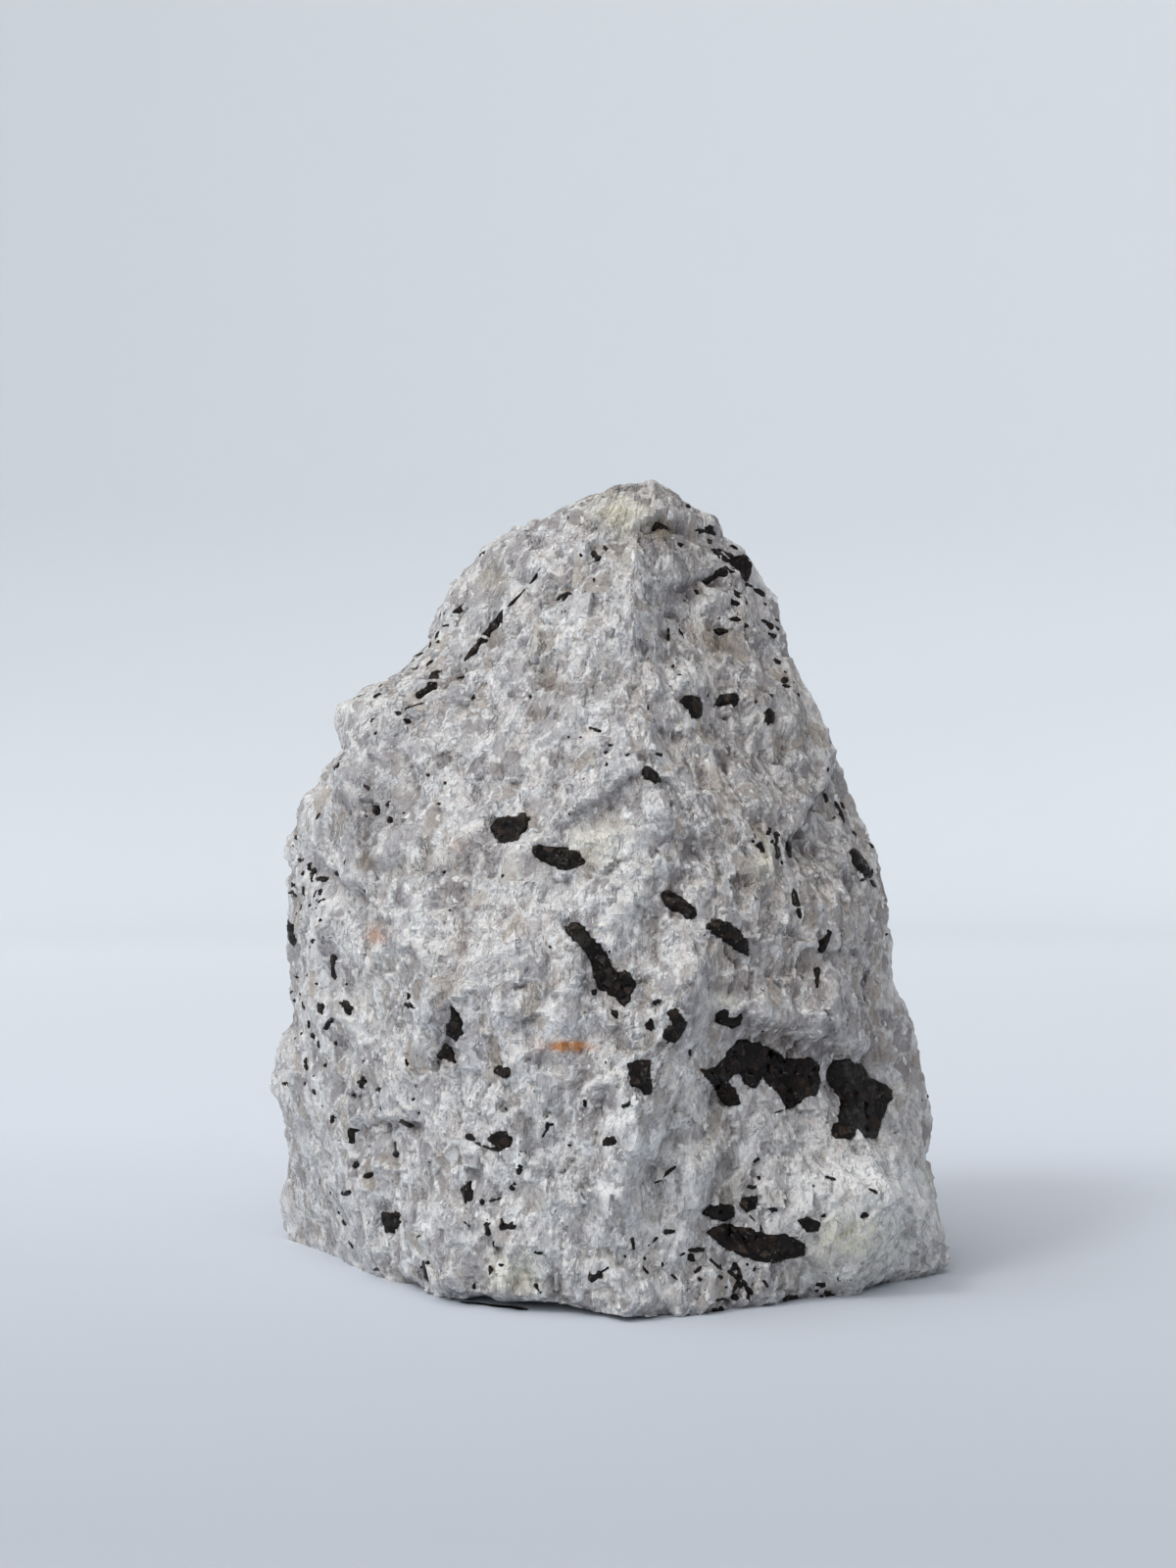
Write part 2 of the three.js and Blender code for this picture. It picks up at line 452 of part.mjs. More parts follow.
function solidOf(geometry) {
  const bare = geometry.clone();
  bare.deleteAttribute('normal');
  bare.deleteAttribute('uv');
  const merged = mergeVertices(bare, 1e-4);
  return new wasm.Manifold(new wasm.Mesh({
    numProp: 3,
    vertProperties: new Float32Array(merged.attributes.position.array),
    triVerts: new Uint32Array(merged.index.array),
  }));
}

function geometryOf(solid) {
  const mesh = solid.getMesh();
  const geometry = new THREE.BufferGeometry();
  geometry.setAttribute('position', new THREE.BufferAttribute(mesh.vertProperties, 3));
  geometry.setIndex(new THREE.BufferAttribute(mesh.triVerts, 1));
  geometry.computeVertexNormals();
  return geometry;
}

// The points where the outline, seen from its side, meets the lump. A corner that would pass the
// lump's edge is drawn in towards the middle of the outline until it meets it.
const caster = new THREE.Raycaster();
const DRAW_IN = [0, 0.1, 0.2, 0.3, 0.4, 0.5, 0.6];

function outlineOnLump(lump, crystal) {
  const eye = turned(EYE, crystal.from);
  const { outline } = crystal;
  const middle = [0, 1].map((k) => outline.reduce((sum, step) => sum + step[k], 0) / outline.length);
  return outline.map((step) => {
    for (const share of DRAW_IN) {
      const [x, z] = gridPoint([0, 1].map((k) => step[k] + (middle[k] - step[k]) * share));
      const through = turned(new THREE.Vector3(x, 0, z), crystal.from);
      caster.set(eye, through.sub(eye).normalize());
      const hit = caster.intersectObject(lump)[0];
      if (hit) return hit.point;
    }
    throw new Error(`${crystal.name} misses the lump`);
  });
}

// The flat frame that best fits those points, with its third axis pointing out of the stone.
function frameOf(points, eye) {
  const middle = new THREE.Vector3();
  points.forEach((p) => middle.addScaledVector(p, 1 / points.length));
  const normal = new THREE.Vector3();
  points.forEach((p, i) => {
    const a = p.clone().sub(middle);
    const b = points[(i + 1) % points.length].clone().sub(middle);
    normal.add(a.cross(b));
  });
  normal.normalize();
  if (normal.dot(eye.clone().sub(middle)) < 0) normal.negate();
  const level = new THREE.Vector3(0, 0, 1).cross(normal).normalize();
  const steep = normal.clone().cross(level);
  return new THREE.Matrix4().makeBasis(level, steep, normal).setPosition(middle);
}

// Moves each side of an outline out by the same distance.
function grown(outline, distance) {
  const turning = THREE.ShapeUtils.isClockWise(outline) ? -1 : 1;
  const count = outline.length;
  const sideOut = (i) => {
    const d = outline[(i + 1) % count].clone().sub(outline[i]).normalize();
    return new THREE.Vector2(d.y, -d.x).multiplyScalar(turning);
  };
  return outline.map((p, i) => {
    const [a, b] = [sideOut((i + count - 1) % count), sideOut(i)];
    const reach = distance / Math.max(1 + a.dot(b), 0.5);
    return p.clone().add(a.add(b).multiplyScalar(reach));
  });
}

// A prism from depth below the frame's plane up to the height of each corner plus rise.
function prism(outline, heights, depth, rise) {
  const shape = new THREE.Shape(outline);
  const geometry = new THREE.ExtrudeGeometry(shape, { depth: 1, bevelEnabled: false });
  const position = geometry.attributes.position;
  for (let i = 0; i < position.count; i += 1) {
    const here = new THREE.Vector2(position.getX(i), position.getY(i));
    const distances = outline.map((p) => p.distanceTo(here));
    const nearest = distances.indexOf(Math.min(...distances));
    const isTop = position.getZ(i) > 0.5;
    position.setZ(i, isTop ? heights[nearest] + rise : -depth);
  }
  return geometry;
}

function crystalAndPocket(lump, crystal) {
  const points = outlineOnLump(lump, crystal);
  const frame = frameOf(points, turned(EYE, crystal.from));
  const local = points.map((p) => p.clone().applyMatrix4(frame.clone().invert()));
  const flat = local.map((p) => new THREE.Vector2(p.x, p.y));
  const heights = local.map((p) => p.z);
  const body = prism(flat, heights, CRYSTAL_DEPTH, CRYSTAL_PROUD).applyMatrix4(frame);
  const pocketDepth = CRYSTAL_DEPTH + GAP;
  const pocket = prism(grown(flat, GAP), heights, pocketDepth, POCKET_REACH).applyMatrix4(frame);
  return { body: solidOf(body), pocket: solidOf(pocket) };
}

function namedMesh(name, solid, material) {
  const mesh = new THREE.Mesh(geometryOf(solid), material.clone());
  mesh.name = name;
  return mesh;
}

// The specimen: each crystal's pocket is cut from the quartz, and crumbs that a cut frees are left out.
const specimen = new THREE.Group();
const uncut = new THREE.Mesh(lumpGeometry(), QUARTZ);
uncut.updateMatrixWorld();
let quartz = solidOf(uncut.geometry);
const tourmalines = new THREE.Group();
for (const crystal of CRYSTALS) {
  const { body, pocket } = crystalAndPocket(uncut, crystal);
  quartz = quartz.subtract(pocket);
  tourmalines.add(namedMesh(crystal.name, body, TOURMALINE));
}
const pieces = quartz.decompose().sort((a, b) => b.volume() - a.volume());
specimen.add(namedMesh('quartz_matrix', pieces[0], QUARTZ), tourmalines);

export default specimen;
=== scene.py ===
# %% [markdown]
# # A hand-sized lump of tourmalinated quartz
#
# The object is one broken lump of milky quartz with black tourmaline crystals grown in it. A packed
# CAD model already fixes its size and its main form. This lesson dresses that model: a finely broken
# quartz surface, the crystals as they lie in it, and the two minerals' finishes.
#
# Lengths are worked out in millimetres and go into Blender in metres. +Z is up, the broad ridged
# front faces -Y, and the base stands on z = 0.

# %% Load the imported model
import math

import bpy
import numpy as np
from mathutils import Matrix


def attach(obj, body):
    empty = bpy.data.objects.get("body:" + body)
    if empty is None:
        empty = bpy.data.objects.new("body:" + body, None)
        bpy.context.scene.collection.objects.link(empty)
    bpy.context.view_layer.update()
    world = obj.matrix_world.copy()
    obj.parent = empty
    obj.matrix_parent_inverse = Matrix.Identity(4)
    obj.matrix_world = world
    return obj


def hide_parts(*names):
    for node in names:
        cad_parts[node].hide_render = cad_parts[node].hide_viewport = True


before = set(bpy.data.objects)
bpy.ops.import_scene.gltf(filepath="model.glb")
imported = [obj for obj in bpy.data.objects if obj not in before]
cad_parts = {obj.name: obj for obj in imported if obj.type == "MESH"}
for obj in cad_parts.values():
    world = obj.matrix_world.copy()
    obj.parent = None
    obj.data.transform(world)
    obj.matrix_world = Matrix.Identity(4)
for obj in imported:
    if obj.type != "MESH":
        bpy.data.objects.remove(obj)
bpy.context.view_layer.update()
MM = 0.001

# %% [markdown]
# ## Repeatable chance
#
# A broken stone has no pattern, yet it must come out the same in each run. Each small cube of space
# gets a number from its whole-number address, mixed so that neighbours have nothing in common. Blender
# has noises of its own, but the crystals have to read the same unevenness as the quartz, at any point
# they ask for, so the numbers are worked out here.

# %% A number for each cell
WORD = 0xFFFFFFFF
CELL_FACTORS = (73856093, 19349663, 83492791, 2654435761)
MIXERS = ((16, 0x7FEB352D), (15, 0x846CA68B))
LAST_SHIFT = 16


def cell_number(ix, iy, iz, seed):
    """The address times large odd numbers, combined bit by bit and mixed twice, as a share of 2**32."""
    fx, fy, fz, fs = CELL_FACTORS
    h = (ix * fx) ^ (iy * fy) ^ (iz * fz) ^ (seed * fs)
    h = (h & WORD).astype(np.uint64)
    for shift, factor in MIXERS:
        h = ((h ^ (h >> np.uint64(shift))) * np.uint64(factor)) & np.uint64(WORD)
    return (h ^ (h >> np.uint64(LAST_SHIFT))).astype(float) / (WORD + 1)


print("numbers of five cells in a row:", cell_number(np.arange(5), 0, 0, 7).round(2))

# %% [markdown]
# ## Smooth waviness
#
# Between the cells' corners a value has to pass without a jump, or each cell would show as a box. So
# the eight corner numbers are blended with a curve that is level at both ends.

# %% Waviness


def smooth_step(low, high, x):
    """0 below low, 1 above high, and 3t² - 2t³ between."""
    t = np.clip((x - low) / (high - low), 0, 1)
    return t * t * (3 - 2 * t)


def waviness(p, size, seed):
    """Cell numbers at the eight corners of a cube of that size, blended with 3t² - 2t³, from -1 to 1."""
    q = p / size
    base = np.floor(q).astype(np.int64)
    f = q - base
    f = f * f * (3 - 2 * f)
    total = 0
    for dx, dy, dz in np.ndindex(2, 2, 2):
        share = np.where(dx, f[..., 0], 1 - f[..., 0]) * np.where(dy, f[..., 1], 1 - f[..., 1])
        share = share * np.where(dz, f[..., 2], 1 - f[..., 2])
        total = total + share * cell_number(base[..., 0] + dx, base[..., 1] + dy, base[..., 2] + dz, seed)
    return total * 2 - 1


def wandered(p, reach, size, seed):
    """Points moved by up to reach mm along each axis, each axis by a waviness of its own."""
    return p + reach * np.stack([waviness(p, size, seed + k) for k in range(3)], -1)


ten = np.array([[10.0 * k, 3.0, 5.0] for k in range(10)])
print("waviness on a line:", waviness(ten, 7, 77).round(2))

# %% [markdown]
# ## Conchoidal scoops
#
# Quartz has no cleavage: it breaks in shallow shell-shaped scoops that meet in sharp ridges. One could
# carve them one by one, but the lowest of many tilted bowls, one for each cell of space, has exactly
# those creases, and hundreds of them cost one formula.

# %% Scoops and crests
CENTRE_LOW, CENTRE_SPAN = 0.1, 0.8
BOWL_TILT, BOWL_DEPTH = 0.55, 0.35
CREST_CURVE, CREST_TILT, CREST_DEPTH = 0.7, 0.62, 0.3


def neighbours(p, size, seed):
    """For each of the 27 cells round a point: the offset from the cell's centre, and the cell's six
    numbers. The first three place the centre and the last three tilt its face."""
    q = p / size
    base = np.floor(q).astype(np.int64)
    for step in np.ndindex(3, 3, 3):
        c = base + np.array(step) - 1
        r = [cell_number(c[..., 0], c[..., 1], c[..., 2], seed + k) for k in range(6)]
        yield q - (c + CENTRE_LOW + CENTRE_SPAN * np.stack(r[:3], -1)), r


def tilt_of(r):
    """A direction from a cell's last three numbers, each part from -1 to 1."""
    return (np.stack(r[3:], -1) - 0.5) * 2


def scoops(p, size, seed):
    """The lowest of the tilted bowls: offset squared, plus 0.55 of the offset along the tilt."""
    lowest = np.full(p.shape[:-1], np.inf)
    for off, r in neighbours(p, size, seed):
        bowl = (off ** 2).sum(-1) + BOWL_TILT * (off * tilt_of(r)).sum(-1) + BOWL_DEPTH * (r[3] + r[4] - 1)
        lowest = np.minimum(lowest, bowl)
    return lowest


def hackle(p, size, seed):
    """As scoops, but flatter and more tilted: gentle treads, steep risers and sharp crests."""
    lowest = np.full(p.shape[:-1], np.inf)
    for off, r in neighbours(p, size, seed):
        tread = CREST_CURVE * (off ** 2).sum(-1) + CREST_TILT * (off * tilt_of(r)).sum(-1)
        lowest = np.minimum(lowest, tread + CREST_DEPTH * (r[4] - 0.5))
    return lowest


print("scoops on a line:", scoops(ten, 8.5, 15).round(2))

# %% [markdown]
# ## Grains
#
# At the scale of millimetres the rock breaks from grain to grain instead. Each point belongs to the
# nearest cell centre, and each grain ends in a flat face with a tilt of its own. The same search also
# tells how far the grain's border is, which the colours read later.

# %% Grain faces


def grain_faces(p, size, seed):
    """The nearest centre's tilted plane, two numbers of that grain, and how far its border is: the
    distance to the second centre less that to the first, in grains."""
    first = np.full(p.shape[:-1], np.inf)
    second = first.copy()
    plane = np.zeros_like(first)
    own = np.zeros(first.shape + (2,))
    for off, r in neighbours(p, size, seed):
        square = (off ** 2).sum(-1)
        near = square < first
        second = np.where(near, first, np.minimum(second, square))
        first = np.where(near, square, first)
        plane = np.where(near, (off * tilt_of(r)).sum(-1), plane)
        own = np.where(near[..., None], np.stack(r[1:3], -1), own)
    return plane, own, np.sqrt(second) - np.sqrt(first)


print("grain borders on a line:", grain_faces(ten, 2.5, 7)[2].round(2))

# %% [markdown]
# ## The form at large
#
# The CAD model lofts the lump through eleven cross-sections of twelve corners, with the left and
# right edges given apart. The same named sections are repeated here, because a finer surface has to
# lie where the CAD model lies. A cubic that never overshoots carries each corner from one height to
# the next, so no swelling appears that the sections don't ask for.

# %% Cross-sections and edges, in mm
PEAK = np.array([3.6, 8.5, 98.1])
CAP_START = 96.0
SECTIONS = {
    0: [(-40.5, 20), (-30, 1), (-19.5, -16), (-9.5, -20.5), (1, -26.5), (14, -19.5),
        (28, -11.5), (40, -1), (35, 15), (14, 24), (-12, 26), (-32, 27)],
    2.5: [(-41.5, 20.5), (-31.5, 0.5), (-20.5, -18), (-10.5, -23.5), (1, -28), (14.5, -20.5),
          (29, -13.5), (41.5, 0), (36, 17), (14, 26.5), (-13, 28), (-34, 28.5)],
    12: [(-42.5, 18), (-33, -1), (-21, -17), (-10.5, -24), (1, -27.5), (15, -20.5),
         (30, -16), (39.5, 0), (36, 17), (15, 27), (-14, 28), (-35, 27)],
    24: [(-43.5, 15), (-35, 0), (-22.5, -15.5), (-10, -23.5), (3.5, -26.5), (15.5, -18.5),
         (29, -11), (39.3, 1), (36, 16), (16, 26), (-13, 27), (-34, 26)],
    34: [(-41.6, 13), (-35, 0.5), (-25.5, -12.5), (-10, -22), (7.5, -24), (18, -19.5),
         (29, -11.5), (36.3, 2), (33, 14), (15, 24.5), (-12, 26), (-32, 24)],
    48: [(-41.6, 11), (-36, 1), (-28, -8), (-11, -17), (8.5, -20), (18, -15),
         (27.5, -7), (34.5, 3.5), (30, 13), (13, 22.5), (-11, 25), (-31, 22)],
    62: [(-36.1, 9), (-34, 2), (-29, -2.5), (-12, -11), (4.8, -16), (13, -10),
         (21.5, -3), (29, 5), (25, 13), (11, 21), (-10, 23.5), (-28, 19)],
    74: [(-27, 9), (-25, 4), (-20, 0), (-9, -5.5), (3, -10.5), (10.5, -5),
         (18, 1), (24.5, 7), (20, 13.5), (8, 20), (-8, 21.5), (-22, 17)],
    84: [(-20.8, 9.5), (-18.5, 5.5), (-13, 2.5), (-6, -1.5), (2.4, -5.5), (8.5, -1),
         (14.5, 3.5), (20.8, 8.5), (16, 14), (6, 18.5), (-7, 19.5), (-17, 16)],
    92: [(-12.5, 9.5), (-11, 6.5), (-8, 4), (-2, 1.5), (3.6, -0.5), (7, 1.5),
         (10.5, 4.5), (14.2, 8), (11, 13), (5, 16), (-4, 16.5), (-10, 14)],
    96: [(-3.6, 9), (-3, 7.2), (-1.5, 5.8), (0.5, 4.7), (3.5, 4.0), (6.0, 4.6),
         (8.3, 6.0), (9.8, 8.5), (8.3, 11.5), (4.5, 13), (0, 13), (-2.6, 11.5)],
}
LEFT_EDGE = [(0, -41.2), (5, -41.6), (14, -42.7), (20, -44.0), (24, -43.7), (30, -42.4),
             (34, -41.6), (48, -41.6), (51, -40.6), (55, -39.5), (58, -38.6), (60, -36.6),
             (62, -36.1), (64.5, -33.8), (67, -34.4), (70, -34.1), (73, -30.4), (74.5, -26.2),
             (78, -23.4), (80, -23.2), (82, -22.9), (86, -20.4), (89, -17.6), (91, -15.2),
             (93, -12.0), (94.5, -7.6), (96, -4.2)]
RIGHT_EDGE = [(0, 40.2), (1.3, 42.2), (6, 41.3), (14, 39.3), (22, 39.4), (30, 37.8),
              (36, 35.3), (42, 34.9), (45, 35.4), (50, 34.2), (54, 32.1), (60, 29.9),
              (65, 27.6), (70, 26.0), (75, 24.3), (76.8, 22.6), (80, 21.7), (84, 20.9),
              (88, 18.6), (90, 16.3), (91.5, 14.2), (94, 13.6), (95.3, 10.8), (96, 9.8)]
CORNERS = 12
RIGHT_CORNER = 7
print("sections:", len(SECTIONS), "edge heights:", len(LEFT_EDGE), "left,", len(RIGHT_EDGE), "right")

# %% [markdown]
# ## Between the sections
#
# A plain spline would bulge past the edges between two sections. Slopes taken as the harmonic mean of
# the pieces on both sides never do, and stay level where the outline turns back.

# %% The loft


def smooth_through(keys, values, z):
    """Cubic pieces through the keys, each slope the harmonic mean of its neighbours', or none."""
    keys, values = np.array(keys, float), np.array(values, float)
    rise = np.diff(values, axis=0) / np.diff(keys)[:, None, None]
    both = rise[:-1] + rise[1:]
    slope = np.empty_like(values)
    slope[[0, -1]] = rise[[0, -1]]
    mean = 2 * rise[:-1] * rise[1:] / np.where(np.abs(both) < 1e-9, 1, both)
    slope[1:-1] = np.where(rise[:-1] * rise[1:] > 0, mean, 0)
    i = np.clip(np.searchsorted(keys, z) - 1, 0, len(keys) - 2)
    h = (keys[i + 1] - keys[i])[:, None, None]
    t = (z - keys[i])[:, None, None] / h
    return ((2 * t**3 - 3 * t**2 + 1) * values[i] + (t**3 - 2 * t**2 + t) * h * slope[i]
            + (3 * t**2 - 2 * t**3) * values[i + 1] + (t**3 - t**2) * h * slope[i + 1])


def loft(z, around):
    """Rows at heights z, columns going round in corners: straight from corner to corner, then pulled
    to the two edges by the cube of how far the point lies from the middle."""
    corner = smooth_through(list(SECTIONS), list(SECTIONS.values()), z)
    k = np.floor(around).astype(int) % CORNERS
    f = (around - np.floor(around))[None, :, None]
    p = corner[:, k] * (1 - f) + corner[:, (k + 1) % CORNERS] * f
    x, left, right = p[..., 0], corner[:, :1, 0], corner[:, RIGHT_CORNER:RIGHT_CORNER + 1, 0]
    middle = (left + right) / 2
    to_left = np.clip((middle - x) / (middle - left), 0, 1) ** 3
    to_right = np.clip((x - middle) / (right - middle), 0, 1) ** 3
    x = x + (np.interp(z, *zip(*LEFT_EDGE))[:, None] - left) * to_left
    x = x + (np.interp(z, *zip(*RIGHT_EDGE))[:, None] - right) * to_right
    return np.stack([x, p[..., 1], np.broadcast_to(z[:, None], x.shape)], -1)


waist = loft(np.array([48.0]), np.arange(12.0))[0]
print("width and depth at 48 mm:", np.ptp(waist, axis=0)[:2].round(1))

# %% [markdown]
# ## Reading places on the stone
#
# Lumps, ledges and crystals are named by where they show from one side of the lump. Each side has a
# grid of steps, seen from a viewpoint 290 mm away, and one step is 0.1208 mm on the upright plane
# through the origin. A place on the stone is then a column, a row and a side.

# %% The grid of a side
EYE = np.array([-2.7, -290.0, 60.3])
AHEAD = (600, 800)
# a lens of 54 mm over 36 mm of height, in a grid 1600 steps tall
FOCAL_STEPS = 2400.0
STEP = -EYE[1] / FOCAL_STEPS
FRONT, RIGHT_SIDE, BACK, LEFT_SIDE = 0, 90, 180, 270


def turned(p, degrees):
    """Points or directions turned about the upright axis."""
    c, s = math.cos(math.radians(degrees)), math.sin(math.radians(degrees))
    return np.stack([p[..., 0] * c - p[..., 1] * s, p[..., 0] * s + p[..., 1] * c, p[..., 2]], -1)


def grid_mm(places):
    """Columns and rows as mm on the side's upright plane."""
    places = np.asarray(places, float)
    return np.stack([EYE[0] + (places[..., 0] - AHEAD[0]) * STEP,
                     EYE[2] + (AHEAD[1] - places[..., 1]) * STEP], -1)


def shown_at(p, side):
    """Where points of the stone show on that side's plane: scaled by the ratio of the distances."""
    v = turned(p, -side)
    k = -EYE[1] / (v[..., 1] - EYE[1])
    return np.stack([EYE[0] + (v[..., 0] - EYE[0]) * k, EYE[2] + (v[..., 2] - EYE[2]) * k], -1), v[..., 1]


print("one step is", round(STEP, 4), "mm, and straight ahead lies", grid_mm(AHEAD), "mm")

# %% [markdown]
# ## Which way is out
#
# The relief and the crystals are moved outwards. The mesh's own normals would shake with every crest,
# so the direction is taken from a smooth egg inside the lump instead.

# %% The outward direction
EGG_HALF = (42, 28, 95)
EGG_MIDDLE_Y, EGG_MIDDLE_Z, LEAN_BACK = 1, 22, 7.5


def outward(p):
    """The outward direction of an egg inside the lump, whose middle leans back towards the crown: each
    offset from the middle over the square of that half size, brought to length 1."""
    middle_y = EGG_MIDDLE_Y + LEAN_BACK * (p[..., 2] / PEAK[2]) ** 2
    d = np.stack([p[..., 0] / EGG_HALF[0]**2, (p[..., 1] - middle_y) / EGG_HALF[1]**2,
                  (p[..., 2] - EGG_MIDDLE_Z) / EGG_HALF[2]**2], -1)
    return d / np.linalg.norm(d, axis=-1, keepdims=True)


print("outwards at the peak and at the ridge:", outward(np.array([PEAK, [1, -28, 12]])).round(2))

# %% [markdown]
# ## Lumps, hollows and ledges
#
# A few forms are large enough to have names: the block at the lower right, the flutes beside the
# ridge, the shelf at the left. A swell is a bell-shaped rise. A ledge juts out along a lip and drops
# back sharply below it, which is what throws the small deep shadows on a broken stone.

# %% Named swells and ledges
# side, column and row of the middle, half length and half width in mm, turn in degrees, rise in mm
SWELLS = {
    "lower right block": (FRONT, (885, 1235), (9.7, 7.5), -10, 1.9),
    "flute right of the ridge": (FRONT, (668, 1222), (13.3, 3.1), 76, -1.9),
    "flute left of the ridge": (FRONT, (603, 1235), (10.3, 2.4), 82, -1.1),
    "spur": (FRONT, (725, 1190), (9.1, 2.9), 62, 1.1),
    "left spur": (FRONT, (634, 1160), (10.9, 2.4), 78, 0.9),
    "right face hollow": (FRONT, (712, 862), (5.8, 2.7), 5, -1.2),
    "right face rib": (FRONT, (705, 690), (3.1, 3.6), 90, 1.0),
    "left belly": (FRONT, (350, 1075), (7.3, 7.3), 0, 0.9),
    "middle belly": (FRONT, (520, 960), (10.9, 7.3), 40, 0.9),
    "spindle seat": (FRONT, (770, 1270), (7.3, 3.1), -8, -0.9),
    "left shoulder": (FRONT, (375, 730), (4.8, 3.6), 20, 0.8),
    "back rib": (BACK, (560, 930), (26, 6.5), 68, 3.0),
    "back hollow": (BACK, (760, 1080), (15, 9), 25, -2.8),
    "back foot": (BACK, (480, 1240), (13, 7), -12, 2.2),
    "back crown": (BACK, (610, 660), (9, 6), 30, 1.6),
    "right side hollow": (RIGHT_SIDE, (735, 1000), (7, 13), 15, -1.8),
    "left side rib": (LEFT_SIDE, (610, 1020), (17, 4), 75, 1.6),
}
# side, column and row of the lip's middle, its half length and the fade below it in mm, turn, depth
LEDGES = {
    "left shelf": (FRONT, (375, 1143), (6.6, 5.8), 2, 1.5),
    "great overhang": (FRONT, (834, 1052), (13, 12), -12, 2.0),
    "middle overhang": (FRONT, (612, 812), (5.8, 5.6), 30, 1.2),
    "crown crevice": (FRONT, (722, 574), (4.6, 3.6), 38, 1.8),
    "crown brow": (FRONT, (684, 532), (4.1, 4.1), 0, 1.4),
    "streak step": (FRONT, (520, 655), (12, 4.1), 215, 1.3),
    "left scar": (FRONT, (470, 860), (7.3, 6), 60, 1.0),
    "right scar": (FRONT, (850, 870), (7.3, 6), -50, 1.0),
    "back shelf": (BACK, (690, 860), (17, 13), -24, 3.2),
    "back step": (BACK, (500, 1130), (13, 9), 18, 2.4),
    "right side step": (RIGHT_SIDE, (580, 830), (10, 8), 35, 2.0),
    "left side step": (LEFT_SIDE, (640, 900), (11, 8), -30, 2.0),
}
print("named forms:", len(SWELLS), "swells,", len(LEDGES), "ledges")

# %% [markdown]
# ## From the names to relief
#
# A bell keeps a swell soft all round. A ledge has one sharp side, so it drops within a sixth of its
# fade and takes the rest of it to come out again. A waviness bends each lip, since none is straight.

# %% Relief of the named forms
FACING = (0.1, 0.45)
BELL, LIP_BELL, LIP_SHARE = 1.6, 1.3, 0.16
# rise and size in mm, and seed
LIP_WOBBLE = ((1.3, 7, 77), (0.6, 3, 78), (0.5, 1.3, 79))


def faces_side(out, side):
    """1 where the surface faces that side, and 0 where it turns away."""
    return smooth_step(*FACING, -turned(out, -side)[..., 1])


def along_and_across(p, side, middle, turn):
    """Distances from the middle, in mm, along the feature's length and across it."""
    off = shown_at(p, side)[0] - grid_mm(middle)
    c, s = math.cos(math.radians(turn)), math.sin(math.radians(turn))
    return off[..., 0] * c + off[..., 1] * s, off[..., 1] * c - off[..., 0] * s


def named_relief(p, out):
    """Bells exp(-1.6 r²) for the swells. Below each lip a drop that comes out again over its fade."""
    wobble = sum(rise * waviness(p, size, seed) for rise, size, seed in LIP_WOBBLE)
    h = 0
    for side, middle, half, turn, rise in SWELLS.values():
        u, v = along_and_across(p, side, middle, turn)
        bell = np.exp(-BELL * ((u / half[0]) ** 2 + ((v + wobble) / half[1]) ** 2))
        h = h + rise * bell * faces_side(out, side)
    for side, middle, (half, fade), turn, depth in LEDGES.values():
        u, v = along_and_across(p, side, middle, turn)
        below = -(v + wobble) / fade
        drop = smooth_step(0, LIP_SHARE, below) * (1 - smooth_step(LIP_SHARE, 1, below))
        h = h - depth * np.exp(-LIP_BELL * (u / half) ** 4) * drop * faces_side(out, side)
    return h


print("relief on a line:", named_relief(ten, outward(ten)).round(2), "mm")

# %% [markdown]
# ## Scoops over the whole lump
#
# Between the named forms the lump is covered with scoops of two sizes. They are faint near the left
# and right edges, whose lines are given, and bolder on the back, which has fewer named forms.

# %% Scoops over the lump
SCOOP_WANDER = (2.4, 8, 11)
SCOOPS_DRAWN_UP = np.array([1, 1, 0.72])
# size in mm, and seed
LARGE_SCOOP, MIDDLING_SCOOP, COUNTER_SCOOP = (19, 3), (8.5, 15), (8.5, 25)
LARGE_RISE, MIDDLING_RISE = 2.2, 1.7
LARGE_MEAN, MIDDLING_MEAN = 0.3, 0.05
EDGE_WIDTH, CROWN_FROM, CROWN_TO, CALM_AT_EDGE = 0.3, 0.5, 0.8, 0.85
BACK_FROM, BACK_TO, BOLD_AT_BACK = 0.1, 0.7, 0.6


def broken_at_large(p, out):
    """Scoops 19 mm and 8.5 mm across on a wavy grid, the smaller ones as the difference of two sets,
    times a factor that is faint on the edges and one that is bolder on the back."""
    warped = wandered(p, *SCOOP_WANDER) * SCOOPS_DRAWN_UP
    on_edge = np.maximum(np.exp(-((out[..., 1] / EDGE_WIDTH) ** 2)),
                         smooth_step(CROWN_FROM, CROWN_TO, out[..., 2]))
    large = LARGE_RISE * (scoops(warped, *LARGE_SCOOP) - LARGE_MEAN)
    middling = MIDDLING_RISE * (
        scoops(warped, *MIDDLING_SCOOP) - scoops(warped, *COUNTER_SCOOP) + MIDDLING_MEAN)
    on_back = smooth_step(BACK_FROM, BACK_TO, out[..., 1])
    return (large + middling) * (1 - CALM_AT_EDGE * on_edge) * (1 + BOLD_AT_BACK * on_back)


print("scoops add, on a line:", broken_at_large(ten, outward(ten)).round(2), "mm")

# %% [markdown]
# ## The finely broken surface
#
# Below 5 mm the stone breaks from grain to grain. That is real relief, which catches the light on
# its own, so it goes into the mesh down to about half a millimetre, and only what is finer is left
# to the finish.

# %% Crests and grains
FINE_WANDER = (0.9, 2.6, 31)
DRAWN_UP = np.array([1, 1, 0.66])
# rise and spacing in mm, and seed
CRESTS = ((1.5, 4.4, 35), (0.9, 2.0, 55))
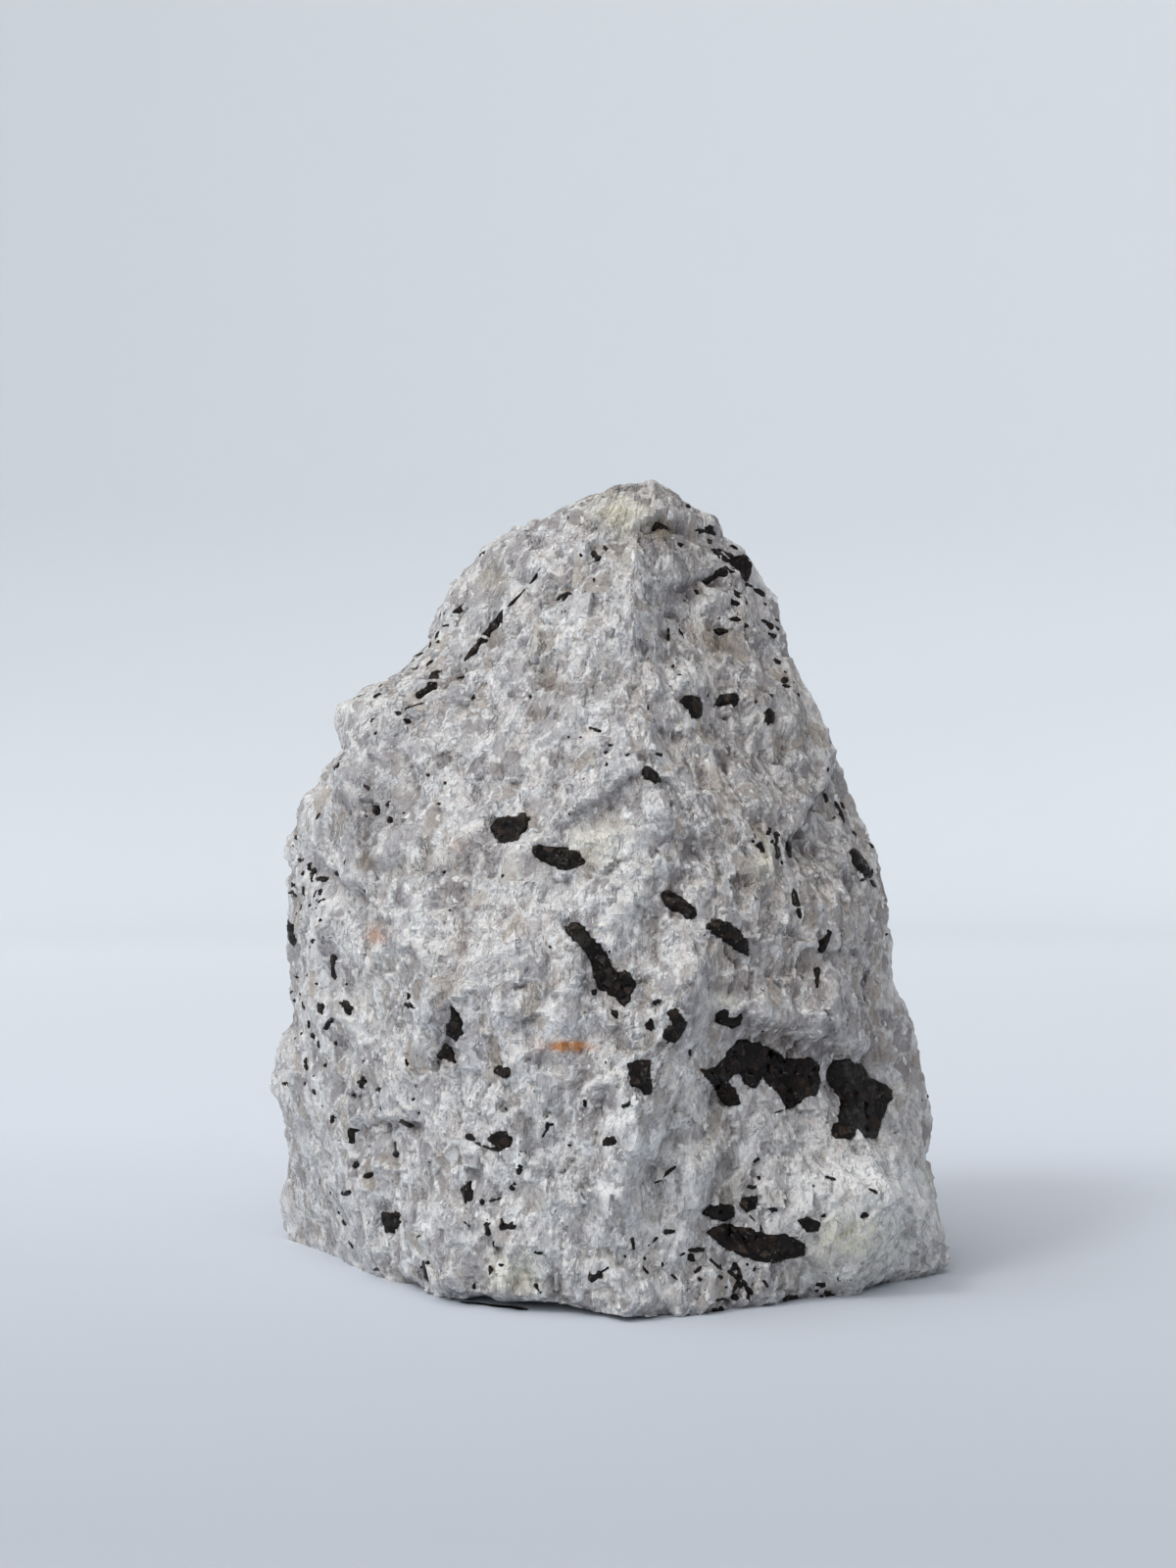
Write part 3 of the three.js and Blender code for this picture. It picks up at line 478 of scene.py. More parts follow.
# size in mm, and seed
COARSE_GRAIN, FINE_GRAIN, FINE_SHAKE = (2.5, 7), (1.1, 17), (0.9, 91)
SHAKE_REACH = 0.3
COARSE_TILT, FINE_TILT, GRAIN_STEP = 0.7, 0.34, 0.45


def finely_broken(p):
    """Crests about 4.4 and 2 mm apart, and flat grain faces about 2.5 and 1.1 mm across, all but the
    finest drawn out along the height as the grains are. Each coarse grain also stands in or out."""
    drawn = wandered(p, *FINE_WANDER) * DRAWN_UP
    h = sum(rise * hackle(drawn, size, seed) for rise, size, seed in CRESTS)
    coarse, own, border = grain_faces(drawn, *COARSE_GRAIN)
    fine, _, _ = grain_faces(p + SHAKE_REACH * waviness(p, *FINE_SHAKE)[..., None], *FINE_GRAIN)
    h = h + COARSE_TILT * coarse + FINE_TILT * fine + GRAIN_STEP * (own[..., 0] - 0.5)
    return h - h.mean(), own, border


print("fine relief on a line:", finely_broken(ten)[0].round(2), "mm")

# %% [markdown]
# ## One grid for the whole lump
#
# The skin is one grid: rows by height, columns round the lump. It has more columns on the front than
# on the back, because the great ridge and most of the crystals are there. Above the last section its
# rings draw in to the peak. The fine relief is calmer near the left and right edges, as the scoops are.

# %% The grid and its relief
CORNER_STEPS = [6, 6, 4, 4, 4, 5, 5, 5, 6, 7, 6, 4]
FRONT_COLUMNS, BACK_COLUMNS = 8, 6
WALL_ROWS, CROWN_ROWS = 212, 11
SIDE_WIDTH, CALM_AT_SIDES = 0.25, 0.4

around = []
for k, steps in enumerate(CORNER_STEPS):
    count = steps * (FRONT_COLUMNS if k < RIGHT_CORNER else BACK_COLUMNS)
    around.append(k + np.arange(count) / count)
around = np.concatenate(around)
heights = np.linspace(0, CAP_START, WALL_ROWS + 1)
wall = loft(heights, around)
shrink = np.linspace(1, 0, CROWN_ROWS + 1)[1:-1, None, None]
crown = PEAK + (wall[-1] - PEAK) * shrink
crown[..., 2] = CAP_START + (PEAK[2] - CAP_START) * (1 - shrink[..., 0] ** 2)
smooth_form = np.concatenate([wall, crown])
out_dir = outward(smooth_form)
fine_h, grain_own, grain_border = finely_broken(smooth_form)
near_side = np.exp(-((out_dir[..., 1] / SIDE_WIDTH) ** 2))
height = named_relief(smooth_form, out_dir) + broken_at_large(smooth_form, out_dir)
height = height + fine_h * (1 - CALM_AT_SIDES * near_side)
print("grid", height.shape, "relief from", height.min().round(2), "to", height.max().round(2), "mm")

# %% [markdown]
# ## The stone's points
#
# The relief moves each point outwards. The base stays flat, because the lump stands on it.

# %% Stone points
BASE_FADE = 3


def struck(form, out, h):
    """Moves the form by its relief. The base stays flat: the upward part fades over its lowest 3 mm."""
    keep = np.ones_like(form)
    keep[..., 2] = smooth_step(0, BASE_FADE, form[..., 2])
    p = form + out * h[..., None] * keep
    p[..., 2] = np.maximum(p[..., 2], 0)
    return p


stone = struck(smooth_form, out_dir, height)
print("stone from", stone.min((0, 1)).round(1), "to", stone.max((0, 1)).round(1), "mm")

# %% [markdown]
# ## Depth pictures
#
# A crystal has to lie on the stone wherever it is named. One could cast a ray for each of its points,
# but there are many thousands. So the finished relief is drawn once as a depth picture for each of the
# four sides, and a place on the grid is looked up there.

# %% Depth pictures of the four sides
PICTURE_STEP = 0.5
PICTURE_LOW = np.array([-55.0, -6.0])
PICTURE_SIZE = (220, 220)
PICTURE_CELLS = PICTURE_SIZE[0] * PICTURE_SIZE[1]
TURNED_AWAY = 0.03
FILL_ROUNDS, EMPTY_BELOW = 40, 0.05


def box_blur(a, rounds, wrap):
    """Each value becomes a quarter of its two neighbours and half of itself, first along, then across,
    where wrap joins the last column to the first."""
    for _ in range(rounds):
        for axis, closed in ((0, False), (1, wrap)):
            before, after = np.roll(a, 1, axis), np.roll(a, -1, axis)
            if not closed:
                edge = [slice(None)] * a.ndim
                edge[axis] = 0
                before[tuple(edge)] = a[tuple(edge)]
                edge[axis] = -1
                after[tuple(edge)] = a[tuple(edge)]
            a = 0.5 * a + 0.25 * (before + after)
    return a


def depth_picture(side):
    """The mean depth of the stone in each cell of the side's plane, and which cells it covers. Empty
    cells take their neighbours' depth, round by round."""
    place, depth = shown_at(stone, side)
    facing = -turned(out_dir, -side)[..., 1] > TURNED_AWAY
    cell = np.floor((place[facing] - PICTURE_LOW) / PICTURE_STEP).astype(int)
    flat = cell[:, 0] * PICTURE_SIZE[1] + cell[:, 1]
    count = np.bincount(flat, minlength=PICTURE_CELLS).reshape(PICTURE_SIZE).astype(float)
    total, filled = np.bincount(flat, depth[facing], PICTURE_CELLS).reshape(PICTURE_SIZE), count
    for _ in range(FILL_ROUNDS):
        spread_total, spread_filled = box_blur(total, 1, False), box_blur(filled, 1, False)
        empty = filled < EMPTY_BELOW
        total = np.where(empty, spread_total, total)
        filled = np.where(empty, spread_filled, filled)
    return box_blur(total / np.maximum(filled, 1e-9), 1, False), count > 0


pictures = {side: depth_picture(side) for side in (FRONT, RIGHT_SIDE, BACK, LEFT_SIDE)}
print("covered:", {side: f"{covered.mean():.0%}" for side, (_, covered) in pictures.items()})

# %% [markdown]
# ## From a place to the stone
#
# A place is moved inside the edges of its side first, because past them the picture has only the
# depth of a neighbour, and a grain put there would hang in the air. Then the depth carries it onto
# the stone along the line of sight.

# %% Looking places up
EDGE_MARGIN = 0.8
LAST_PLACE = np.array(PICTURE_SIZE) - 1.001


def kept_on(side, place):
    """Places moved level, where they must be, to lie a margin inside the edges of the side's picture."""
    covered = pictures[side][1]
    row = np.clip(((place[..., 1] - PICTURE_LOW[1]) / PICTURE_STEP).astype(int), 0, PICTURE_SIZE[1] - 1)
    first = np.argmax(covered, 0)[row]
    last = PICTURE_SIZE[0] - np.argmax(covered[::-1], 0)[row]
    low = PICTURE_LOW[0] + first * PICTURE_STEP + EDGE_MARGIN
    high = PICTURE_LOW[0] + last * PICTURE_STEP - EDGE_MARGIN
    return np.stack([np.clip(place[..., 0], low, high), place[..., 1]], -1)


def on_stone(side, place, lift):
    """Points on the stone that show at these mm places of a side, moved outwards by lift in mm. The
    depth is blended from the four nearest cells of the picture."""
    picture, _ = pictures[side]
    q = np.clip((place - PICTURE_LOW) / PICTURE_STEP - 0.5, 0, LAST_PLACE)
    i = np.floor(q).astype(int)
    f = q - i
    across = [picture[i[..., 0] + a, i[..., 1]] * (1 - f[..., 1])
              + picture[i[..., 0] + a, i[..., 1] + 1] * f[..., 1] for a in (0, 1)]
    y = across[0] * (1 - f[..., 0]) + across[1] * f[..., 0]
    k = (y - EYE[1]) / -EYE[1]
    x, z = EYE[0] + (place[..., 0] - EYE[0]) * k, EYE[2] + (place[..., 1] - EYE[2]) * k
    p = turned(np.stack([x, y, z], -1), side)
    p = p + outward(p) * np.asarray(lift)[..., None]
    p[..., 2] = np.maximum(p[..., 2], 0)
    return p


print("middle of the front lies at", on_stone(FRONT, grid_mm(AHEAD), 0.0).round(1), "mm")

# %% [markdown]
# ## The larger crystals
#
# Each tourmaline outline is where the crystal meets the broken surface, in steps of its side's grid.
# The crystals broke with the rock, so they lie almost flush. One could carve each by hand, but a
# crystal broken flush is really a patch of surface: a height over the stone, worked out on a fine
# grid along the crystal's own length. It stands a little proud inside the outline and dives into the
# quartz outside it, so the quartz itself draws the ragged line between the two minerals.

# %% Outlines of the larger crystals
CRYSTALS = {
    "great": (FRONT, [
        (740, 1082), (745, 1072), (754, 1061), (776, 1066), (788, 1072), (800, 1080), (812, 1082),
        (826, 1080), (835, 1088), (840, 1099), (836, 1107), (832, 1116), (820, 1119), (806, 1130),
        (796, 1114), (786, 1108), (778, 1098), (770, 1110), (760, 1106), (757, 1093), (747, 1097),
        (743, 1106), (751, 1114), (754, 1126), (744, 1127), (736, 1122), (731, 1110), (724, 1101),
        (716, 1092), (726, 1092)]),
    "right_block": (FRONT, [
        (845, 1098), (848, 1088), (854, 1082), (867, 1081), (878, 1085), (887, 1100), (898, 1105),
        (909, 1113), (911, 1121), (904, 1128), (896, 1150), (893, 1160), (884, 1160), (875, 1150),
        (869, 1161), (852, 1161), (847, 1152), (856, 1145), (858, 1122), (850, 1108)]),
    "spindle": (FRONT, [
        (724, 1257), (736, 1250), (756, 1253), (770, 1256), (784, 1261), (802, 1261), (814, 1266),
        (821, 1273), (820, 1281), (802, 1284), (792, 1288), (776, 1286), (760, 1282), (745, 1276),
        (734, 1268)]),
    "club": (FRONT, [
        (578, 950), (585, 942), (592, 944), (600, 953), (612, 967), (620, 978), (626, 990),
        (632, 996), (638, 991), (645, 997), (648, 1006), (641, 1021), (637, 1027), (631, 1018),
        (612, 1008), (607, 994), (602, 977), (594, 966)]),
    "stub": (FRONT, [
        (502, 843), (506, 837), (514, 834), (526, 834), (533, 829), (539, 836), (536, 846),
        (527, 856), (514, 860), (506, 856)]),
    "lens": (FRONT, [
        (544, 869), (550, 863), (562, 866), (574, 866), (587, 869), (596, 880), (588, 883),
        (578, 887), (568, 884), (551, 876)]),
    "upper_bar": (FRONT, [
        (674, 912), (681, 910), (690, 914), (709, 928), (711, 934), (704, 937), (692, 930), (680, 923)]),
    "lower_bar": (FRONT, [
        (720, 946), (727, 940), (738, 940), (748, 945), (757, 953), (762, 962), (763, 975),
        (750, 967), (736, 957)]),
    "small_block": (FRONT, [
        (641, 1086), (646, 1083), (663, 1083), (664, 1096), (665, 1116), (658, 1117), (655, 1110),
        (645, 1109)]),
    "hook": (FRONT, [
        (682, 1033), (689, 1030), (700, 1044), (698, 1051), (690, 1062), (682, 1064), (677, 1059),
        (679, 1052), (688, 1046)]),
    "curl": (FRONT, [
        (731, 1036), (738, 1030), (744, 1033), (743, 1038), (749, 1040), (756, 1036), (755, 1044),
        (747, 1048), (734, 1043)]),
    "cap": (FRONT, [(719, 1238), (727, 1231), (748, 1231), (748, 1240), (740, 1246), (728, 1243)]),
    "knob": (FRONT, [(754, 1228), (760, 1223), (772, 1222), (771, 1233), (762, 1236)]),
    "thorn": (FRONT, [(814, 1245), (822, 1243), (836, 1248), (834, 1256), (824, 1257)]),
    "face_left": (FRONT, [
        (695, 716), (700, 710), (713, 712), (717, 724), (715, 731), (706, 731), (701, 722)]),
    "face_right": (FRONT, [(731, 719), (735, 709), (750, 709), (753, 715), (750, 720), (744, 718)]),
    "slip": (FRONT, [(781, 730), (785, 724), (789, 728), (789, 736), (785, 740), (781, 737)]),
    "shard": (FRONT, [(656, 786), (660, 782), (668, 787), (674, 796), (669, 798), (659, 793)]),
    "edge_bar": (FRONT, [(866, 868), (873, 867), (881, 877), (890, 893), (885, 896), (874, 881)]),
    "streak": (FRONT, [
        (514, 622), (511, 634), (501, 646), (491, 657), (475, 675), (480, 666), (493, 649), (504, 634)]),
    "shoulder": (FRONT, [
        (441, 686), (447, 684), (446, 697), (437, 706), (425, 712), (425, 708), (436, 700)]),
    "crown": (FRONT, [
        (744, 572), (752, 568), (760, 569), (765, 575), (766, 583), (757, 582), (747, 578)]),
    "flame": (FRONT, [
        (460, 1027), (466, 1034), (472, 1045), (471, 1056), (465, 1062), (457, 1055), (457, 1047),
        (461, 1044)]),
    "flame_foot": (FRONT, [(453, 1066), (459, 1069), (464, 1084), (455, 1079), (446, 1079)]),
    "seed": (FRONT, [(504, 1093), (510, 1088), (518, 1090), (520, 1098), (513, 1100)]),
    "belt_block": (FRONT, [(498, 1163), (503, 1157), (514, 1156), (522, 1161), (521, 1169), (510, 1172)]),
    "low_block": (FRONT, [(390, 1238), (397, 1240), (404, 1238), (406, 1249), (402, 1257), (394, 1257)]),
    "wedge": (FRONT, [(470, 1214), (480, 1205), (482, 1224), (475, 1226)]),
    "back_great": (BACK, [
        (604, 968), (616, 955), (640, 957), (662, 969), (684, 975), (700, 990), (692, 1006),
        (668, 1010), (648, 1001), (634, 1008), (615, 996)]),
    "back_bar": (BACK, [(520, 790), (530, 784), (553, 806), (571, 832), (563, 840), (545, 826)]),
    "back_slab": (BACK, [(742, 1196), (760, 1184), (779, 1190), (783, 1212), (768, 1226), (748, 1219)]),
    "back_shard": (BACK, [(640, 700), (650, 695), (664, 712), (668, 728), (656, 726)]),
    "back_foot": (BACK, [(470, 1150), (492, 1144), (518, 1152), (520, 1162), (496, 1166), (475, 1161)]),
    "right_side_bar": (RIGHT_SIDE, [
        (700, 1080), (712, 1074), (730, 1098), (740, 1124), (730, 1130), (714, 1108)]),
    "right_side_block": (RIGHT_SIDE, [(705, 935), (718, 928), (732, 938), (730, 956), (714, 960)]),
    "left_side_block": (LEFT_SIDE, [
        (446, 1100), (460, 1090), (478, 1096), (480, 1116), (462, 1124), (448, 1116)]),
    "left_side_bar": (LEFT_SIDE, [
        (486, 960), (498, 956), (522, 972), (540, 992), (531, 999), (506, 980)]),
}
print("crystals named:", len(CRYSTALS))

# %% [markdown]
# ## Inside or outside an outline
#
# Each crystal needs to know how deep inside its outline a point lies: that sets its height at the rim,
# and where the quartz makes room for it. The nearest side gives the distance, and a ray to the right
# gives the sign.

# %% Distance inside an outline


def inside_by(outline, place):
    """How far places lie inside a closed outline, in mm, and negative outside: the distance to the
    nearest side, with the sign from how many sides a ray to the right crosses."""
    nearest = np.full(place.shape[:-1], np.inf)
    crossed = np.zeros(place.shape[:-1], bool)
    for a, b in zip(outline, np.roll(outline, -1, 0)):
        along = b - a
        t = np.clip(((place - a) @ along) / (along @ along), 0, 1)
        nearest = np.minimum(nearest, np.linalg.norm(place - (a + t[..., None] * along), axis=-1))
        level = (a[1] > place[..., 1]) != (b[1] > place[..., 1])
        rise = b[1] - a[1] if b[1] != a[1] else 1e-9
        crossed ^= level & (place[..., 0] < a[0] + (place[..., 1] - a[1]) / rise * along[0])
    return np.where(crossed, nearest, -nearest)


square = np.array([[0, 0], [4, 0], [4, 4], [0, 4]], float)
print("inside a square of 4 mm, and beside it:", inside_by(square, np.array([[2.0, 2], [5, 2]])))

# %% [markdown]
# ## The quartz makes room
#
# Under each crystal the quartz is sunk by about a millimetre, well inside the outline, so that no
# grain of it pokes through the black.

# %% Seats of the crystals
SEAT_DEPTH, SEAT_RIM, NEARBY = 1.1, 0.35, 1
seat = np.zeros_like(height)
for side, outline in CRYSTALS.values():
    place, _ = shown_at(stone, side)
    edge = grid_mm(outline)
    near = np.all((place > edge.min(0) - NEARBY) & (place < edge.max(0) + NEARBY), -1)
    near &= -turned(out_dir, -side)[..., 1] > TURNED_AWAY
    room = smooth_step(0.0, SEAT_RIM, inside_by(edge, place[near]))
    seat[near] = np.maximum(seat[near], SEAT_DEPTH * room)
quartz_points = struck(smooth_form, out_dir, height - seat)
print("points sunk for a crystal:", int((seat > 0).sum()))

# %% [markdown]
# ## A thin gap under the front
#
# The real base touches what it stands on only in places. Along the middle of the front its rim is
# lifted by about a millimetre, which gives the thin dark line there.

# %% The gap
RIM_GAP, GAP_MIDDLE, GAP_HALF, GAP_TOP, GAP_REACH = 0.9, -7.0, 11.0, 2.5, 8
GAP_UNEVEN, GAP_WAVE = 0.5, (3.0, 41)
across, inwards, up = np.moveaxis(quartz_points, -1, 0)
gap = RIM_GAP * np.exp(-((across - GAP_MIDDLE) / GAP_HALF) ** 4) * smooth_step(0, GAP_REACH, -inwards)
gap = gap * (1 + GAP_UNEVEN * waviness(quartz_points, *GAP_WAVE)) * np.clip(1 - up / GAP_TOP, 0, 1)
quartz_points[..., 2] += gap
print("gap under the rim: up to", gap.max().round(2), "mm")

# %% [markdown]
# ## From grids to meshes
#
# Every piece below is an array of points and an array of corners, put into a mesh in one go. A grid
# that goes round is joined to itself, and a fan of triangles closes it at each pole.

# %% Faces and meshes


def skin_faces(rows, columns, low_pole, high_pole):
    """Quads between neighbouring rings, joined round, and a fan of triangles to each pole."""
    ring = np.arange(columns)
    after = (ring + 1) % columns
    row = np.arange(rows - 1)[:, None] * columns
    quads = np.stack([row + ring, row + after, row + columns + after, row + columns + ring], -1)
    last = (rows - 1) * columns
    low = np.stack([np.full(columns, low_pole), after, ring], -1)
    high = np.stack([last + ring, last + after, np.full(columns, high_pole)], -1)
    return quads.reshape(-1, 4), np.concatenate([low, high])


def new_mesh(name, points, quads, triangles=None, smooth=True):
    """A mesh from points in mm and arrays of corners."""
    mesh = bpy.data.meshes.new(name)
    mesh.vertices.add(len(points))
    mesh.vertices.foreach_set("co", (points * MM).astype(np.float32).ravel())
    loops = quads.ravel() if triangles is None else np.concatenate([quads.ravel(), triangles.ravel()])
    sizes = np.full(len(quads), 4)
    if triangles is not None:
        sizes = np.concatenate([sizes, np.full(len(triangles), 3)])
    mesh.loops.add(len(loops))
    mesh.loops.foreach_set("vertex_index", loops.astype(np.int32))
    mesh.polygons.add(len(sizes))
    mesh.polygons.foreach_set("loop_start", (np.cumsum(sizes) - sizes).astype(np.int32))
    mesh.polygons.foreach_set("use_smooth", np.full(len(sizes), smooth))
    mesh.update(calc_edges=True)
    mesh.validate()
    thing = bpy.data.objects.new(name, mesh)
    bpy.context.scene.collection.objects.link(thing)
    return thing


print("quads and triangles of three rings of eight:", [len(part) for part in skin_faces(3, 8, 24, 25)])

# %% [markdown]
# ## The quartz skin
#
# The skin closes on the level in the middle of the base and on the struck peak. Edges sharper than 26
# degrees stay sharp, as broken ones are, and the faces between them are shaded smoothly.

# %% The quartz skin
CREASE = math.radians(26)
rows, columns = height.shape
ring_mean = quartz_points[0].mean(0) * np.array([1, 1, 0])
peak = struck(PEAK[None, None], outward(PEAK[None, None]), np.array([[height[-1].mean()]]))[0]
points = np.concatenate([quartz_points.reshape(-1, 3), ring_mean[None], peak])
quads, fans = skin_faces(rows, columns, rows * columns, rows * columns + 1)
quartz_lump = new_mesh("quartz_lump", points, quads, fans)
quartz_lump.data.set_sharp_from_angle(angle=CREASE)
print("quartz skin:", len(quads) * 2 + len(fans), "triangles")

# %% [markdown]
# ## What the stone's colour needs to know
#
# The stone's colour gets painted shade in its hollows and a painted highlight on its ridges. Stains
# and painted light lie in patches, and each grain has a clearness and a tone of its own. Image
# textures could hold all this, but numbers on the mesh follow the relief exactly, and the finish
# can mix them with its noises.

# %% Stains and painted light of the front
# column, row, half width and half height in steps, strength
STAINS = {
    "rust": [(581, 1068, 19, 4.5, 1.6), (385, 955, 12, 8, 0.45), (470, 862, 9, 7, 0.35),
             (548, 1064, 10, 6, 0.15)],
    "yellow_green": [(630, 525, 26, 18, 0.6), (780, 880, 14, 22, 0.4), (525, 1300, 22, 22, 0.6),
                     (862, 1262, 42, 26, 0.65), (610, 860, 26, 20, 0.4), (740, 1020, 10, 8, 0.4),
                     (497, 590, 14, 12, 0.4)],
    "brown": [(500, 590, 12, 10, 0.4), (568, 700, 14, 10, 0.5), (375, 880, 12, 10, 0.7),
              (729, 655, 16, 14, 0.8), (677, 542, 12, 12, 0.8), (630, 845, 12, 10, 0.3)],
    # painted light: near-white patches where the faces should show lit
    "painted_light": [(668, 1232, 44, 80, 0.45), (702, 688, 14, 14, 0.7), (885, 1185, 26, 18, 1.2),
               (880, 1235, 80, 70, 1.15), (780, 1180, 50, 40, 0.4), (560, 1240, 90, 80, 0.2),
               (732, 1020, 9, 8, 0.8), (628, 860, 26, 20, 0.9), (566, 905, 40, 26, 0.3),
               (385, 740, 26, 30, 0.3), (690, 1180, 30, 24, 0.25)],
    "clear_grey": [(310, 985, 16, 14, 0.7), (378, 832, 34, 44, 0.55), (935, 1095, 13, 9, 1.0),
                   (905, 1150, 12, 7, 0.7), (855, 1025, 6, 9, 0.9), (848, 1050, 7, 10, 0.9),
                   (500, 860, 14, 12, 0.4), (600, 835, 16, 10, 0.6), (720, 865, 18, 9, 0.5),
                   (680, 550, 14, 12, 0.6)],
}
STAIN_BELL, STAIN_FACING = 0.9, 0.2


def write_attribute(name, values):
    """One number for each point of the skin, with the mean of the nearest ring at each pole."""
    attribute = quartz_lump.data.attributes.new(name, "FLOAT", "POINT")
    on_skin = np.concatenate([values.ravel(), [values[0].mean(), values[-1].mean()]])
    attribute.data.foreach_set("value", on_skin.astype(np.float32))


front_place, _ = shown_at(stone, FRONT)
seen_in_front = smooth_step(0.0, STAIN_FACING, -out_dir[..., 1])
for name, patches in STAINS.items():
    amount = np.zeros_like(height)
    for column, row, half_width, half_height, strength in patches:
        off = (front_place - grid_mm((column, row))) / (np.array([half_width, half_height]) * STEP)
        patch = strength * np.exp(-STAIN_BELL * (off ** 2).sum(-1)) * seen_in_front
        amount = np.maximum(amount, patch)
    write_attribute(name, amount)
print("patches of colour:", {name: len(patches) for name, patches in STAINS.items()})

# %% [markdown]
# ## Grains and hollows as numbers
#
# The colours of a grain have to stop where its relief stops, so the grain numbers of the relief are
# written down too. A hollow is where the stone lies under its own blurred relief. To the right of the
# ridge the finish paints shade: the colour there is darker, for the faces that turn away from the light.

# %% Numbers of the grains, the right face and the hollows
RIGHT_FROM, RIGHT_TO = -0.05, 0.45
RIGHT_BACK, RIGHT_FRONT = -0.3, 0.1
HOLLOW_ROUNDS, DEEP_HOLLOW = 22, 1.2
write_attribute("grain_clearness", grain_own[..., 0])
write_attribute("grain_tone", grain_own[..., 1])
write_attribute("grain_border", grain_border)
# painted shade: the faces right of the ridge get a darker colour in the finish
to_right = smooth_step(RIGHT_FROM, RIGHT_TO, out_dir[..., 0])
write_attribute("right_painted_shade", to_right * smooth_step(RIGHT_BACK, RIGHT_FRONT, -out_dir[..., 1]))
# the finish paints shade into the hollows and a highlight onto the ridges from this number
hollow = box_blur(height, HOLLOW_ROUNDS, True) - height
write_attribute("hollow", np.clip(hollow / DEEP_HOLLOW, -1, 1))
print("hollows deeper than 0.6 mm:", round(float((hollow > 0.6).mean()) * 100), "% of the skin")

# %% [markdown]
# ## The patch of a crystal
#
# The patch runs along the crystal's own length, so its rows can carry the fine ribs that tourmaline
# has lengthwise. Its height over the stone follows from the distance inside the outline, and its top
# is broken in crests and small flat faces, as a brittle crystal is.

# %% Patches
CHIP_STEP, CHIP_MARGIN = 0.2, 0.6
RIM_INSIDE, RIM_LIFT = (-0.7, -0.25, -0.1, 0.15, 0.7), (-1.3, -0.3, 0.12, 0.3, 0.34)
TOP_FROM = 0.35
CREST_RISE, FACET_RISE = 0.42, 0.22
RIB_RISE, RIB_SPACING, RIB_SWAY = 0.035, 0.55, 2
# size in mm, and seed
CREST, FACET, SWAY = (2.3, 205), (1.0, 225), (1.5, 3)


def chip_grid(outline):
    """Places on a grid turned to the outline's longest direction, their lengths along and across, and
    whether that turn is a mirror image."""
    middle = outline.mean(0)
    _, _, axes = np.linalg.svd(outline - middle)
    own = (outline - middle) @ axes.T
    low, high = own.min(0) - CHIP_MARGIN, own.max(0) + CHIP_MARGIN
    u = np.arange(low[0], high[0] + CHIP_STEP, CHIP_STEP)
    v = np.arange(low[1], high[1] + CHIP_STEP, CHIP_STEP)
    uv = np.stack(np.meshgrid(u, v, indexing="ij"), -1)
    return middle + uv @ axes, uv, np.linalg.det(axes) < 0


def chip_height(inside, p, uv):
    """Rim height over the distance inside, plus a broken top and fine ribs: sines across the length."""
    breaks = CREST_RISE * hackle(p, *CREST) + FACET_RISE * grain_faces(p, *FACET)[0]
    sway = RIB_SWAY * waviness(p, *SWAY)
    ribs = RIB_RISE * np.sin(uv[..., 1] * 2 * math.pi / RIB_SPACING + sway)
    return np.interp(inside, RIM_INSIDE, RIM_LIFT) + smooth_step(0.0, TOP_FROM, inside) * (breaks + ribs)


print("grid of the great crystal:", chip_grid(grid_mm(CRYSTALS["great"][1]))[0].shape[:2])

# %% [markdown]
# ## Closing a patch into a chip
#
# A patch alone is a sheet. The same cells again under it, turned over, and a wall round the cells that
# are kept, make it a closed solid whose faces all point outwards.

# %% Closed chips


def closed_chip(top, bottom, keep):
    """The kept cells above and below, and a wall on each edge that only one kept cell has. Points that
    no face uses are left out."""
    nu, nv = keep.shape[0] + 1, keep.shape[1] + 1
    index = np.arange(nu * nv).reshape(nu, nv)
    cells = np.stack([index[:-1, :-1], index[1:, :-1], index[1:, 1:], index[:-1, 1:]], -1)[keep]
    edges = np.concatenate([cells[:, [k, (k + 1) % 4]] for k in range(4)])
    code = np.sort(edges, 1) @ np.array([nu * nv, 1])
    _, first, count = np.unique(code, return_index=True, return_counts=True)
    rim = edges[first[count == 1]]
    below = nu * nv
    walls = np.stack([rim[:, 1], rim[:, 0], rim[:, 0] + below, rim[:, 1] + below], -1)
    faces = np.concatenate([cells, cells[:, ::-1] + below, walls])
    points = np.concatenate([top.reshape(-1, 3), bottom.reshape(-1, 3)])
    used, packed = np.unique(faces, return_inverse=True)
    return points[used], packed.reshape(faces.shape)


one_cell = closed_chip(np.zeros((2, 2, 3)), np.zeros((2, 2, 3)), np.ones((1, 1), bool))
print("points and faces of one closed cell:", [len(part) for part in one_cell])

# %% [markdown]
# ## The larger crystals as chips
#
# Each chip takes the place of its plain solid. Two wavinesses fray its outline. Where the turn to the
# crystal's own length is a mirror image, the corners are taken in the other order, so that its faces
# still point outwards.

# %% Crystal chips
CHIP_DEPTH, KEPT_OUTSIDE = 1.4, 0.5
# rise and size in mm, and seed
CHIP_EDGE = ((0.17, 0.9, 61), (0.1, 0.4, 62))
crystal_pieces = []
for name, (side, outline) in CRYSTALS.items():
    outline = grid_mm(outline)
    place, uv, mirrored = chip_grid(outline)
    flat = on_stone(side, place, 0.0)
    inside = inside_by(outline, place)
    for rise, size, seed in CHIP_EDGE:
        inside = inside + rise * waviness(flat, size, seed)
    top = on_stone(side, place, chip_height(inside, flat, uv))
    bottom = on_stone(side, place, -CHIP_DEPTH)
    inner = np.maximum.reduce([inside[:-1, :-1], inside[1:, :-1], inside[1:, 1:], inside[:-1, 1:]])
    points, faces = closed_chip(top, bottom, inner > -KEPT_OUTSIDE)
    piece = new_mesh("crystal_" + name, points, faces[:, ::-1] if mirrored else faces)
    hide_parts("tourmaline_" + name)
    crystal_pieces.append(piece)
chip_faces = sum(len(piece.data.polygons) for piece in crystal_pieces)
